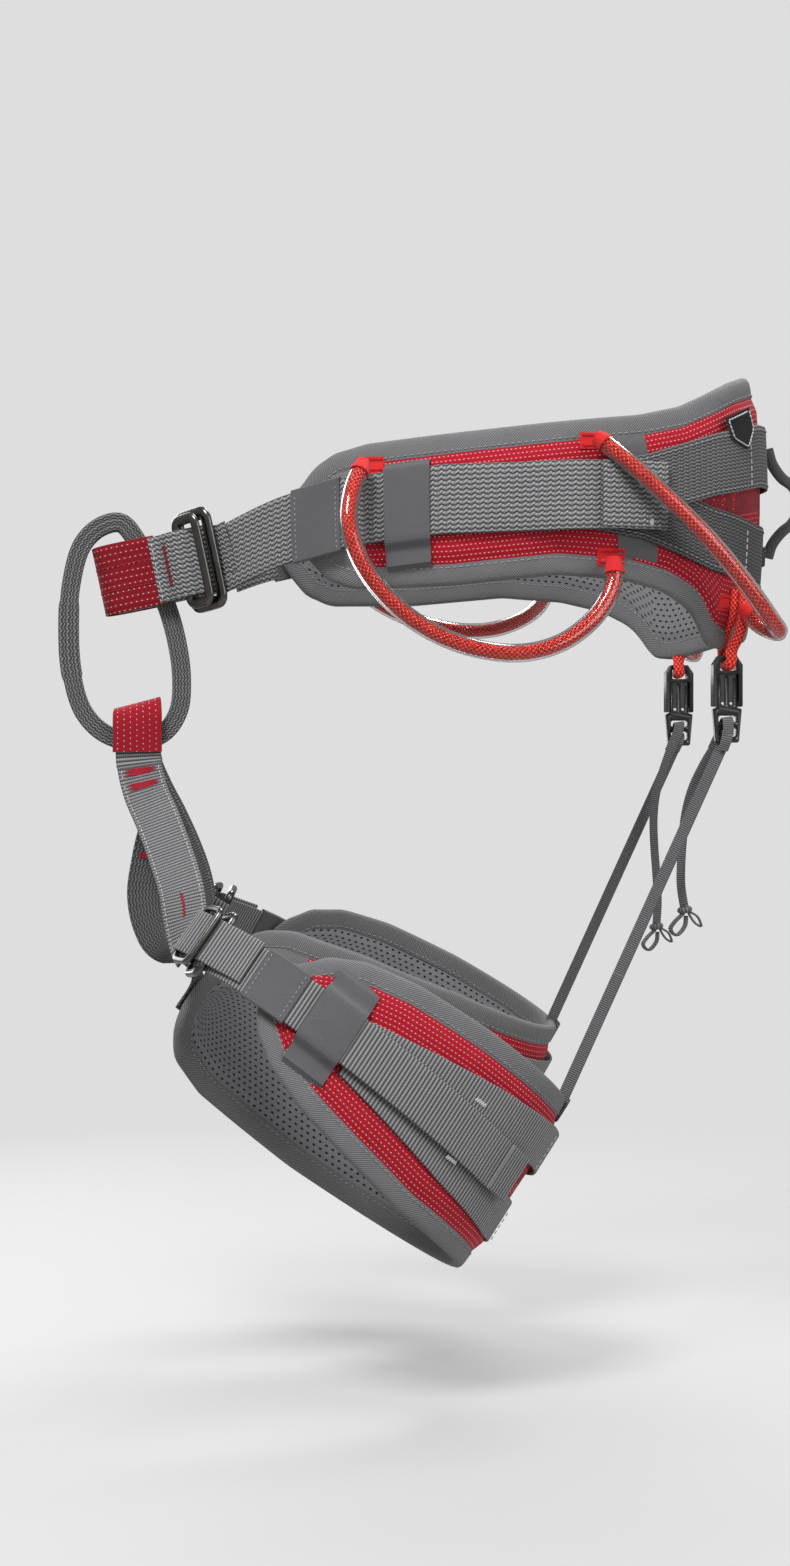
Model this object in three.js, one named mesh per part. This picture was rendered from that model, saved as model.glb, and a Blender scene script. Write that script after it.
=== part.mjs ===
// Padded sit harness of the climbing kind: waist belt, belay loop and two leg loops.
// Millimetres. +Z up, the front of the harness faces -Y, the wearer's left is +X.
// The origin is the centre of the waist ring.
import * as THREE from 'three';

// ---- driving sizes ----
const WAIST_WEBBING = 45;
const LEG_WEBBING = 32;
const WEBBING_THICKNESS = 2;
const PAD_THICKNESS = 10;
const PAD_EDGE_THICKNESS = 5.4;
const EDGE_BINDING = 13;
// A pad reaches its full thickness this many binding widths in from its edge.
const PAD_RISE = 1.4;
const PANEL_MARGIN = EDGE_BINDING * PAD_RISE + 1;
const PANEL_THICKNESS = 1;
const ELASTIC_THICKNESS = 1;
const LAYER_GAP = 0.6;
const STATION_STEP = 12;
const KEEPER_STEP = 10;
const GEAR_TUBE_RADIUS = 6;
const GEAR_TUBE_BORE = 4.8;
const GEAR_CORD_RADIUS = 4.2;
const HAUL_CORD_RADIUS = 2.4;
const RISER_CORD_RADIUS = 2;
const RISER_WIDTH = 8;
const RISER_THICKNESS = 1.6;
const TAIL_WIDTH = 6;

const LEG_CENTRE = { x: 95, y: -109, z: -382 };
const LEG_HALF_WIDTH = 75;
const LEG_HALF_LENGTH = 122;
const THIGH_AXIS_DEGREES = 55;
const LEG_ROLL_DEGREES = 9;
const RIGHT_LEG_SWING_DEGREES = 7;
const GEAR_LOOP_LIFT = { left: { front: 0, rear: 0 }, right: { front: 42, rear: -15 } };
const LEG_PIVOT = { y: -247, z: -160 };

const SIDES = { left: 1, right: -1 };
const CLIP = { x: 70, y: 142, top: -110, length: 34, width: 20, thickness: 9, tongueThickness: 5 };

// ---- colours ----
const COLOURS = {
  webbing: 0x6e6e71,
  binding: 0x5c5c5f,
  elastic: 0x636366,
  panel: 0xa8182b,
  sleeve: 0xb31c2e,
  cord: 0xd93026,
  tube: 0xe8c8c4,
  metal: 0x4b4a48,
  plastic: 0x17181a,
  darkCord: 0x4a4a4d,
};

const FABRIC = { roughness: 0.85 };
const METAL = { roughness: 0.3, metalness: 1 };
const PLASTIC = { roughness: 0.4 };
const CLEAR = { roughness: 0.1, transparent: true, opacity: 0.4 };

const part = new THREE.Group();
part.name = 'climbing_harness';

const point = (x, y, z) => new THREE.Vector3(x, y, z);
const radians = THREE.MathUtils.degToRad;

// ---- geometry helpers ----
function addMesh(name, geometry, color, options = FABRIC) {
  const material = new THREE.MeshStandardMaterial({ color, ...options });
  const mesh = new THREE.Mesh(geometry, material);
  mesh.name = name;
  part.add(mesh);
}

// The triangles that close a ring, found in the plane that the ring fills best.
function capTriangles(ring) {
  const normal = point(0, 0, 0);
  ring.forEach((corner, index) => {
    const next = ring[(index + 1) % ring.length];
    normal.add(point().crossVectors(corner, next));
  });
  normal.normalize();
  const across = ring[1].clone().sub(ring[0]);
  across.addScaledVector(normal, -across.dot(normal)).normalize();
  const up = point().crossVectors(normal, across);
  const flat = ring.map((corner) => new THREE.Vector2(corner.dot(across), corner.dot(up)));
  return THREE.ShapeUtils.triangulateShape(flat, []);
}

// A closed body through rings of corners; a looped body joins its last ring to its first.
function loft(rings, looped = false) {
  const size = rings[0].length;
  const corners = rings.flat();
  const triangles = [];
  const spans = looped ? rings.length : rings.length - 1;
  for (let span = 0; span < spans; span += 1) {
    const here = span * size;
    const there = ((span + 1) % rings.length) * size;
    for (let index = 0; index < size; index += 1) {
      const next = (index + 1) % size;
      triangles.push([here + index, here + next, there + next]);
      triangles.push([here + index, there + next, there + index]);
    }
  }
  if (!looped) {
    const last = (rings.length - 1) * size;
    capTriangles(rings[0]).forEach(([a, b, c]) => triangles.push([a, c, b]));
    capTriangles(rings[0]).forEach(([a, b, c]) => triangles.push([last + a, last + b, last + c]));
  }
  let volume = 0;
  triangles.forEach(([a, b, c]) => {
    volume += corners[a].dot(point().crossVectors(corners[b], corners[c]));
  });
  const facingOut = volume > 0 ? triangles : triangles.map(([a, b, c]) => [a, c, b]);
  const geometry = new THREE.BufferGeometry();
  geometry.setFromPoints(corners);
  geometry.setIndex(facingOut.flat());
  geometry.computeVertexNormals();
  return geometry;
}

// The direction along a route at each of its points.
function tangents(route, looped) {
  const size = route.length;
  return route.map((_, index) => {
    const before = looped ? (index + size - 1) % size : Math.max(index - 1, 0);
    const after = looped ? (index + 1) % size : Math.min(index + 1, size - 1);
    return route[after].clone().sub(route[before]).normalize();
  });
}

// The sections of a flat strap along a route; `across` is the direction of its width, one vector
// or one per point.
function strapRings(route, across, width, thickness, looped = false) {
  const along = tangents(route, looped);
  return route.map((spot, index) => {
    const wish = Array.isArray(across) ? across[index] : across;
    const normal = point().crossVectors(along[index], wish).normalize();
    const side = point().crossVectors(normal, along[index]).normalize();
    return [[-1, -1], [1, -1], [1, 1], [-1, 1]].map(([u, v]) => spot.clone()
      .addScaledVector(side, u * width / 2)
      .addScaledVector(normal, v * thickness / 2));
  });
}

function strap(route, across, width, thickness = WEBBING_THICKNESS, looped = false) {
  return loft(strapRings(route, across, width, thickness, looped), looped);
}

// A round bar or cord along a route. With a bore it is a tube.
function round(route, radius, { looped = false, sides = 8, bore = 0, upright = point(0, 0, 1) } = {}) {
  const along = tangents(route, looped);
  const circle = (index, size) => Array.from({ length: sides }, (_, step) => {
    const side = point().crossVectors(along[index], upright).normalize();
    const up = point().crossVectors(side, along[index]);
    const angle = (2 * Math.PI * step) / sides;
    return route[index].clone()
      .addScaledVector(side, size * Math.cos(angle))
      .addScaledVector(up, size * Math.sin(angle));
  });
  const outer = route.map((_, index) => circle(index, radius));
  if (!bore) {
    return loft(outer, looped);
  }
  // The wall of a tube, turned inside out at its ends, is one loop of circles.
  const inner = route.map((_, index) => circle(index, bore)).reverse();
  return loft([...outer, ...inner], true);
}

function smoothRoute(points, count, looped = false) {
  const curve = new THREE.CatmullRomCurve3(points, looped, 'centripetal');
  return looped ? curve.getSpacedPoints(count).slice(0, count) : curve.getSpacedPoints(count - 1);
}

// A value that runs smoothly through a short list of [place, value] pairs.
function graph(pairs) {
  return (place) => {
    const last = pairs.length - 1;
    if (place <= pairs[0][0]) return pairs[0][1];
    if (place >= pairs[last][0]) return pairs[last][1];
    const index = pairs.findIndex(([at]) => at > place) - 1;
    const [start, low] = pairs[index];
    const [end, high] = pairs[index + 1];
    return low + (high - low) * (place - start) / (end - start);
  };
}

function stationsBetween(start, end, step = STATION_STEP) {
  const count = Math.max(1, Math.round(Math.abs(end - start) / step));
  return Array.from({ length: count + 1 }, (_, index) => start + (end - start) * index / count);
}

// ---- curved surfaces that the pads and straps lie on ----
// A surface turns (along, height, out) into a point: `along` is the distance round the ring from
// the middle of the back, `height` is across it and `out` is the distance from its middle layer.
function ringSurface(plan, place) {
  const curve = new THREE.CatmullRomCurve3(plan, false, 'centripetal');
  curve.arcLengthDivisions = 400;
  const length = curve.getLength();
  return (along, height, out) => {
    const share = THREE.MathUtils.clamp(0.5 + along / length, 0, 1);
    const spot = curve.getPointAt(share);
    const forward = curve.getTangentAt(share);
    return place(spot.x - forward.y * out, spot.y + forward.x * out, height, along);
  };
}

function mirroredPlan(half) {
  const right = half.slice(1).reverse().map(([x, y]) => point(-x, y, 0));
  const left = half.map(([x, y]) => point(x, y, 0));
  return [...right, ...left];
}

// A band on a surface; `profile(along)` gives its section as [height, out] corners.
function bandRings(surface, start, end, profile, step) {
  return stationsBetween(start, end, step).map((along) => (
    profile(along).map(([height, out]) => surface(along, height, out))));
}

function band(surface, start, end, profile, step) {
  return loft(bandRings(surface, start, end, profile, step));
}

// The section of a pad: full in the middle, flat where the edge is bound.
function padProfile(top, bottom) {
  return (along) => {
    const high = top(along);
    const low = bottom(along);
    const edge = Math.min(EDGE_BINDING, 0.3 * (high - low));
    const rise = edge * PAD_RISE;
    const lip = Math.min(1.6, 0.2 * edge);
    const full = PAD_THICKNESS / 2;
    const thin = PAD_EDGE_THICKNESS / 2;
    return [
      [high, 0], [high - lip, thin], [high - edge, thin], [high - rise, full],
      [low + rise, full], [low + edge, thin], [low + lip, thin],
      [low, 0], [low + lip, -thin], [low + rise, -full],
      [high - rise, -full], [high - lip, -thin],
    ];
  };
}

function flatProfile(top, bottom, inner, outer) {
  return (along) => {
    const [low, high] = [inner(along), outer(along)];
    return [[top(along), low], [top(along), high], [bottom(along), high], [bottom(along), low]];
  };
}

const level = (value) => () => value;

// A sewn keeper: an elastic band that steps over the webbing and is held down above and below it.
function keeperProfile(middle, webbing, reach, floor, roof) {
  const lift = ELASTIC_THICKNESS;
  return (along) => {
    const centre = middle(along);
    const rise = webbing / 2 + 2;
    return [
      [centre + reach, floor], [centre + reach, floor + lift], [centre + rise, roof + lift],
      [centre - rise, roof + lift], [centre - reach, floor + lift], [centre - reach, floor],
      [centre - rise - 1.5, floor], [centre - rise + 1, roof],
      [centre + rise - 1, roof], [centre + rise + 1.5, floor],
    ];
  };
}

// A sliding keeper: a short elastic sleeve round one strap.
function slidingKeeper(surface, start, end, middle, webbing, inner, outer) {
  const wall = ELASTIC_THICKNESS;
  const reach = webbing / 2 + 0.6;
  const outline = [
    [reach, inner], [reach, outer], [0, outer], [-reach, outer], [-reach, inner], [0, inner],
  ];
  const centreOut = (inner + outer) / 2;
  const around = (along, grow) => outline.map(([height, out]) => surface(
    along, middle(along) + height + Math.sign(height) * grow, out + Math.sign(out - centreOut) * grow,
  ));
  const stations = stationsBetween(start, end, 8);
  const outside = stations.map((along) => around(along, wall));
  const inside = stations.map((along) => around(along, 0)).reverse();
  return loft([...outside, ...inside], true);
}

// A rectangular buckle frame of round bar, lying in the plane of `across` and `along`.
function buckleFrame(centre, across, along, length, width, radius) {
  const corner = 3.5;
  const route = [];
  [[1, 1], [-1, 1], [-1, -1], [1, -1]].forEach(([u, v], index) => {
    for (let step = 0; step <= 2; step += 1) {
      const angle = (Math.PI / 2) * (index + step / 2);
      const a = u * (length / 2 - corner) + corner * Math.cos(angle);
      const b = v * (width / 2 - corner) + corner * Math.sin(angle);
      route.push(centre.clone().addScaledVector(across, a).addScaledVector(along, b));
    }
  });
  const upright = point().crossVectors(across, along).normalize();
  return round(route, radius, { looped: true, sides: 6, upright });
}

// A frame whose long bars run through two given places.
function frameBetween(first, second, across, { length, radius }) {
  const along = second.clone().sub(first);
  const width = along.length();
  along.normalize();
  const square = across.clone().addScaledVector(along, -across.dot(along)).normalize();
  return buckleFrame(first.clone().lerp(second, 0.5), square, along, length, width, radius);
}

// ---- waist belt ----
const waistPlan = mirroredPlan([
  [0, 172], [47, 163], [84, 132], [105, 89], [111, 45], [107, -10], [98, -63], [83, -110],
  [66, -148], [40, -175], [10, -198],
]);

// The belt is dished: its edges lie nearer to the wearer than its middle.
const WAIST_DISH = 6;
const WAIST_HALF_HEIGHT = 95;
const waistSurface = ringSurface(waistPlan, (x, y, height) => {
  const dish = WAIST_DISH * (height / WAIST_HALF_HEIGHT) ** 2;
  const reach = Math.hypot(x, y);
  return point(x * (1 - dish / reach), y * (1 - dish / reach), height);
});

// A graph of the distance from the middle of the back, the same on both sides.
const bothSides = (pairs) => (along) => graph(pairs)(Math.abs(along));

const WAIST_PAD_REACH = 388;
const waistTop = bothSides([
  [0, 82], [50, 79], [78, 72], [94, 66], [130, 51], [160, 44], [220, 38], [284, 31],
  [340, 25], [362, 19], [376, 9], [388, -8],
]);
const waistBottom = bothSides([
  [0, -93], [50, -100], [82, -105], [97, -103], [108, -90], [118, -80], [140, -69], [170, -62],
  [215, -59], [284, -66], [350, -68], [368, -61], [380, -48], [388, -34],
]);
const webbingHeight = bothSides([
  [190, -9], [290, -12], [350, -19], [390, -29], [430, -41], [452, -48],
]);

const PAD_FACE = PAD_THICKNESS / 2;
const PANEL_INNER = PAD_FACE + LAYER_GAP;
const PANEL_OUTER = PANEL_INNER + PANEL_THICKNESS;
const LOWER_BAND_INNER = PANEL_OUTER + LAYER_GAP;
const UPPER_BAND_INNER = LOWER_BAND_INNER + WEBBING_THICKNESS + LAYER_GAP;
const WEBBING_INNER = PANEL_OUTER + ELASTIC_THICKNESS + 2 * LAYER_GAP;
const WEBBING_OUTER = WEBBING_INNER + WEBBING_THICKNESS;
const WEBBING_RAISED = UPPER_BAND_INNER + WEBBING_THICKNESS + LAYER_GAP;

function buildWaistBelt() {
  const pad = band(waistSurface, -WAIST_PAD_REACH, WAIST_PAD_REACH, padProfile(waistTop, waistBottom));
  addMesh('waist_pad', pad, COLOURS.binding);

  const PANEL_REACH = 362;
  const panel = flatProfile(
    (along) => waistTop(along) - PANEL_MARGIN, (along) => waistBottom(along) + PANEL_MARGIN,
    level(PANEL_INNER), level(PANEL_OUTER),
  );
  addMesh('waist_panel', band(waistSurface, -PANEL_REACH, PANEL_REACH, panel), COLOURS.panel);

  // Two bands cross the back and meet as a V on each flank, where the main webbing is sewn on.
  const BAND_REACH = 205;
  const halfWidth = WAIST_WEBBING / 2;
  const upperHeight = bothSides([[0, 28], [60, 25], [110, 14], [160, -2], [205, -9]]);
  const lowerHeight = bothSides([[0, -43], [60, -42], [110, -34], [160, -17], [205, -10]]);
  const bandHalf = bothSides([[0, 22], [150, 20], [205, 19]]);
  const bands = { upper: [upperHeight, UPPER_BAND_INNER], lower: [lowerHeight, LOWER_BAND_INNER] };
  Object.entries(bands).forEach(([name, [height, inner]]) => {
    const section = flatProfile(
      (along) => height(along) + bandHalf(along), (along) => height(along) - bandHalf(along),
      level(inner), level(inner + WEBBING_THICKNESS),
    );
    addMesh(`back_band_${name}`, band(waistSurface, -BAND_REACH, BAND_REACH, section), COLOURS.webbing);
  });

  Object.entries(SIDES).forEach(([sideName, side]) => {
    const SEWN_END = 180;
    const STRAP_END = { left: 448, right: 424 }[sideName];
    const inner = bothSides([[SEWN_END, WEBBING_RAISED], [212, WEBBING_RAISED], [236, WEBBING_INNER]]);
    const section = flatProfile(
      (along) => webbingHeight(along) + halfWidth, (along) => webbingHeight(along) - halfWidth,
      inner, (along) => inner(along) + WEBBING_THICKNESS,
    );
    const rings = bandRings(waistSurface, side * SEWN_END, side * STRAP_END, section);
    // The right webbing goes on round the front: it is what folds round the belay loop.
    const webbing = sideName === 'right' ? loft([...rings, ...tieInRings()]) : loft(rings);
    addMesh(`waist_webbing_${sideName}`, webbing, COLOURS.webbing);

    const wide = keeperProfile(
      webbingHeight, WAIST_WEBBING, WAIST_WEBBING / 2 + 8, LOWER_BAND_INNER, WEBBING_OUTER + LAYER_GAP,
    );
    const keeper = band(waistSurface, side * 297, side * 326, wide, KEEPER_STEP);
    addMesh(`waist_keeper_${sideName}`, keeper, COLOURS.elastic);

    const sliding = slidingKeeper(
      waistSurface, side * 355, side * 386, webbingHeight, WAIST_WEBBING,
      WEBBING_INNER - LAYER_GAP, WEBBING_OUTER + LAYER_GAP,
    );
    addMesh(`waist_sliding_keeper_${sideName}`, sliding, COLOURS.elastic);
  });
}

// ---- front tie-in: webbing folded round the belay loop, its red cover and the waist buckle ----
const TIE_IN_TILT = radians(12);
const tieInUp = point(0, -Math.sin(TIE_IN_TILT), Math.cos(TIE_IN_TILT));
const TIE_IN_REAR = { y: -205, z: -45 };
const frontLine = (x, y) => point(x, y, TIE_IN_REAR.z - (TIE_IN_REAR.y - y) * Math.tan(TIE_IN_TILT));
const WAIST_BUCKLE = { frame: { length: 60, radius: 3 }, slider: { length: 56, radius: 2.4 } };
const POCKET_HALF = 11;
const TIE_IN_THICKNESS = 3;

// Sections with their corners in the order of a band's: top inner, top outer, bottom outer, bottom inner.
function tieInRings() {
  const route = [
    frontLine(-14, -200), frontLine(-8, -207), frontLine(-8, -214), frontLine(-POCKET_HALF, -221),
    frontLine(-POCKET_HALF, -256), frontLine(3 - POCKET_HALF, -266), frontLine(0, -270),
    frontLine(POCKET_HALF - 3, -266), frontLine(POCKET_HALF, -256), frontLine(POCKET_HALF, -229),
    frontLine(POCKET_HALF + 3, -222), frontLine(POCKET_HALF + 6.5, -216), frontLine(POCKET_HALF + 15, -206),
  ];
  return strapRings(route, tieInUp, WAIST_WEBBING, TIE_IN_THICKNESS).map(([a, b, c, d]) => [b, c, d, a]);
}

function buildTieIn() {
  const cover = POCKET_HALF + 2.6;
  const sleeve = [
    frontLine(cover, -235), frontLine(cover, -257), frontLine(cover - 4, -269), frontLine(0, -274),
    frontLine(4 - cover, -269), frontLine(-cover, -257), frontLine(-cover, -235),
  ];
  addMesh('tie_in_sleeve', strap(sleeve, tieInUp, WAIST_WEBBING + 0.6, 1.4), COLOURS.sleeve);

  // The frame's front bar lies under the sewn webbing and its rear bar over the adjusting webbing.
  const frame = frameBetween(frontLine(12, -216), frontLine(35.6, -199), tieInUp, WAIST_BUCKLE.frame);
  addMesh('waist_buckle_frame', frame, COLOURS.metal, METAL);
  const slider = frameBetween(frontLine(23, -219), frontLine(39, -207), tieInUp, WAIST_BUCKLE.slider);
  addMesh('waist_buckle_slider', slider, COLOURS.metal, METAL);
}

// ---- belay loop and the red cover at its foot ----
function buildBelayLoop() {
  const centreLine = [
    [-273, -21.5], [-285.5, -33.5], [-293, -59], [-295, -91], [-293, -121], [-285, -147], [-270, -162],
    [-249, -167], [-231, -161], [-221, -146], [-219, -124], [-222, -100], [-229, -75], [-240, -51],
    [-250, -30], [-260, -19],
  ].map(([y, z]) => point(0, y, z));
  const route = smoothRoute(centreLine, 30, true);
  addMesh('belay_loop', strap(route, point(1, 0, 0), 14, 11, true), COLOURS.webbing);

  // The cover folds over the foot of the loop, so its section is a U seen from the front.
  const fold = (half, top, foot) => [
    [half, foot], [half, top - 8], [half - 4, top - 2], [0, top],
    [4 - half, top - 2], [-half, top - 8], [-half, foot],
  ].map(([x, z]) => point(x, LEG_PIVOT.y - 2, z));
  const lengthwise = point(0, Math.cos(radians(15)), Math.sin(radians(15)));
  addMesh('leg_strap_sleeve', strap(fold(13.5, -141.5, -174), lengthwise, 32, 1.4), COLOURS.sleeve);
}

// ---- gear loops: a clear tube over a red cord ----
function buildGearLoop(name, points, side, upright, liftDegrees) {
  const ends = [points[0], points[points.length - 1]].map(([x, y, z]) => point(x, y, z));
  const axis = ends[1].clone().sub(ends[0]).normalize();
  const mirrored = points.map(([x, y, z]) => {
    const spot = point(x, y, z).sub(ends[0]).applyAxisAngle(axis, -radians(liftDegrees)).add(ends[0]);
    return spot.setX(side * spot.x);
  });
  const route = smoothRoute(mirrored, 18);
  addMesh(`${name}_cord`, round(route, GEAR_CORD_RADIUS, { upright }), COLOURS.cord);
  const tube = round(route.slice(1, -1), GEAR_TUBE_RADIUS, { upright, bore: GEAR_TUBE_BORE });
  addMesh(`${name}_tube`, tube, COLOURS.tube, CLEAR);
}

const FRONT_GEAR_LOOP = [
  [104, -106, 12], [118, -115, -8], [127, -118, -30], [131, -110, -56], [134, -92, -80],
  [136, -66, -99], [138, -36, -110], [139, -6, -112], [137, 20, -104], [133, 42, -86],
  [128, 53, -66], [124, 54, -50],
];
const REAR_GEAR_LOOP = [
  [126, 42, 28], [134, 60, 12], [138, 84, -10], [138, 112, -37], [132, 138, -65],
  [122, 158, -88], [108, 167, -96], [97, 158, -91], [92, 147, -78],
];

// ---- haul loop at the back ----
function buildHaulLoop() {
  const route = smoothRoute([
    point(0, 189, 38), point(0, 192, 28), point(0, 199, 18), point(0, 207, 12), point(0, 212, 0),
    point(0, 207, -13), point(0, 199, -20), point(0, 192, -29), point(0, 189, -38),
  ], 14);
  addMesh('haul_loop', round(route, HAUL_CORD_RADIUS, { upright: point(1, 0, 0) }), COLOURS.darkCord);
}

// ---- risers: cord, side-release clip, elastic strap and tail ----
function extrudedPlate(outline, holes, thickness, centre) {
  const corners = outline.map(([y, z]) => new THREE.Vector2(y, z));
  const shape = new THREE.Shape(THREE.ShapeUtils.isClockWise(corners) ? corners.reverse() : corners);
  holes.forEach((hole) => shape.holes.push(new THREE.Path(hole.map(([y, z]) => new THREE.Vector2(y, z)))));
  const plate = new THREE.ExtrudeGeometry(shape, { depth: thickness, bevelEnabled: false });
  plate.translate(0, 0, -thickness / 2);
  // Shape x becomes Y, shape y becomes Z and the depth becomes X.
  plate.applyMatrix4(new THREE.Matrix4().makeBasis(point(0, 1, 0), point(0, 0, 1), point(1, 0, 0)));
  plate.translate(centre.x, centre.y, centre.z);
  return plate;
}

const rectangle = (halfY, top, foot) => [[-halfY, top], [halfY, top], [halfY, foot], [-halfY, foot]];

function buildClip(sideName, side) {
  const centre = point(side * CLIP.x, CLIP.y, CLIP.top);
  const half = CLIP.width / 2;
  const wall = 2.6;
  const cavity = half - wall;
  const roof = -12;
  const female = [
    [-half + 4, 0], [half - 4, 0], [half, -6], [half, -CLIP.length], [cavity, -CLIP.length],
    [cavity, roof], [-cavity, roof], [-cavity, -CLIP.length], [-half, -CLIP.length], [-half, -6],
  ];
  const eye = rectangle(5.5, -3.2, -10);
  const femalePlate = extrudedPlate(female, [eye], CLIP.thickness, centre);
  addMesh(`riser_clip_female_${sideName}`, femalePlate, COLOURS.plastic, PLASTIC);

  // Two prongs and a middle tongue on a base with a ladder slot for the strap.
  const prong = cavity - 0.7;
  const base = -CLIP.length - 1;
  const foot = -CLIP.length - 24;
  const male = [
    [-half, base], [-prong, base], [-prong, roof - 3], [-prong + 2.6, roof - 2], [-prong + 2.6, base + 2],
    [-1.6, base + 2], [-1.6, roof - 1], [1.6, roof - 1], [1.6, base + 2],
    [prong - 2.6, base + 2], [prong - 2.6, roof - 2], [prong, roof - 3], [prong, base], [half, base],
    [half - 2, foot], [2 - half, foot],
  ];
  const slots = [rectangle(6, base - 5, base - 9.5), rectangle(6, base - 13, base - 19)];
  const malePlate = extrudedPlate(male, slots, CLIP.tongueThickness, centre);
  addMesh(`riser_clip_male_${sideName}`, malePlate, COLOURS.plastic, PLASTIC);
}

function buildRiserCord(sideName, side) {
  const beyond = CLIP.top - 6.5;
  const route = [
    [side * 85, CLIP.y + 9, -68], [side * 85, CLIP.y + 8, -84], [side * 81, CLIP.y + 5, -98],
    [side * (CLIP.x + 7.2), CLIP.y + 2, CLIP.top + 4], [side * (CLIP.x + 7), CLIP.y + 1, beyond + 1],
    [side * (CLIP.x + 3.5), CLIP.y, beyond], [side * (CLIP.x - 3.5), CLIP.y, beyond],
    [side * (CLIP.x - 7), CLIP.y - 1, beyond + 1], [side * (CLIP.x - 6), CLIP.y - 2, CLIP.top + 6],
  ].map(([x, y, z]) => point(x, y, z));
  const cord = round(smoothRoute(route, 14), RISER_CORD_RADIUS, { upright: point(0, 1, 0) });
  addMesh(`riser_cord_${sideName}`, cord, COLOURS.cord);
}

// ---- leg loops ----
const legPlan = (() => {
  const half = [];
  for (let degrees = 0; degrees <= 180; degrees += 15) {
    const angle = radians(degrees);
    half.push([LEG_HALF_WIDTH * Math.sin(angle), LEG_HALF_LENGTH * Math.cos(angle)]);
  }
  return mirroredPlan(half);
})();

// The right leg is swung a little higher than the left one.
const legSwing = (side) => (side < 0 ? radians(RIGHT_LEG_SWING_DEGREES) : 0);

// Mirrors a left-side point for the right leg and swings it about the leg pivot.
function swingPoint(spot, side, swing = legSwing(side)) {
  const y = spot.y - LEG_PIVOT.y;
  const z = spot.z - LEG_PIVOT.z;
  return point(
    side * spot.x,
    LEG_PIVOT.y + y * Math.cos(swing) - z * Math.sin(swing),
    LEG_PIVOT.z + y * Math.sin(swing) + z * Math.cos(swing),
  );
}

// Turns (lateral, backward, height) of a leg loop into a point.
function legPlace(side) {
  const thigh = radians(THIGH_AXIS_DEGREES);
  const roll = radians(LEG_ROLL_DEGREES);
  const axis = point(-Math.sin(roll), Math.cos(roll) * Math.cos(thigh), Math.cos(roll) * Math.sin(thigh));
  const backward = point(0, Math.sin(thigh), -Math.cos(thigh));
  const lateral = point().crossVectors(backward, axis).normalize();
  return (sideways, back, height) => swingPoint(
    point(LEG_CENTRE.x, LEG_CENTRE.y, LEG_CENTRE.z)
      .addScaledVector(lateral, sideways)
      .addScaledVector(backward, back)
      .addScaledVector(axis, height),
    side,
  );
}

const LEG_BUCKLE = { frame: { length: 47, radius: 2.8 }, slider: { length: 45, radius: 2.2 } };
const LATERAL_TIP = 243;
const MEDIAL_TIP = -286;
const legTop = graph([
  [-286, -8], [-276, 12], [-262, 28], [-240, 40], [-190, 50], [-120, 57], [0, 60], [110, 59],
  [165, 56], [200, 50], [222, 40], [236, 26], [243, 12],
]);
const legBottom = graph([
  [-286, -26], [-278, -42], [-262, -55], [-230, -63], [-150, -68], [0, -68], [100, -65],
  [150, -56], [185, -48], [215, -36], [234, -22], [243, -8],
]);
const legWebMiddle = graph([[60, -6], [160, 1], [240, 7], [310, 10]]);

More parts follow.
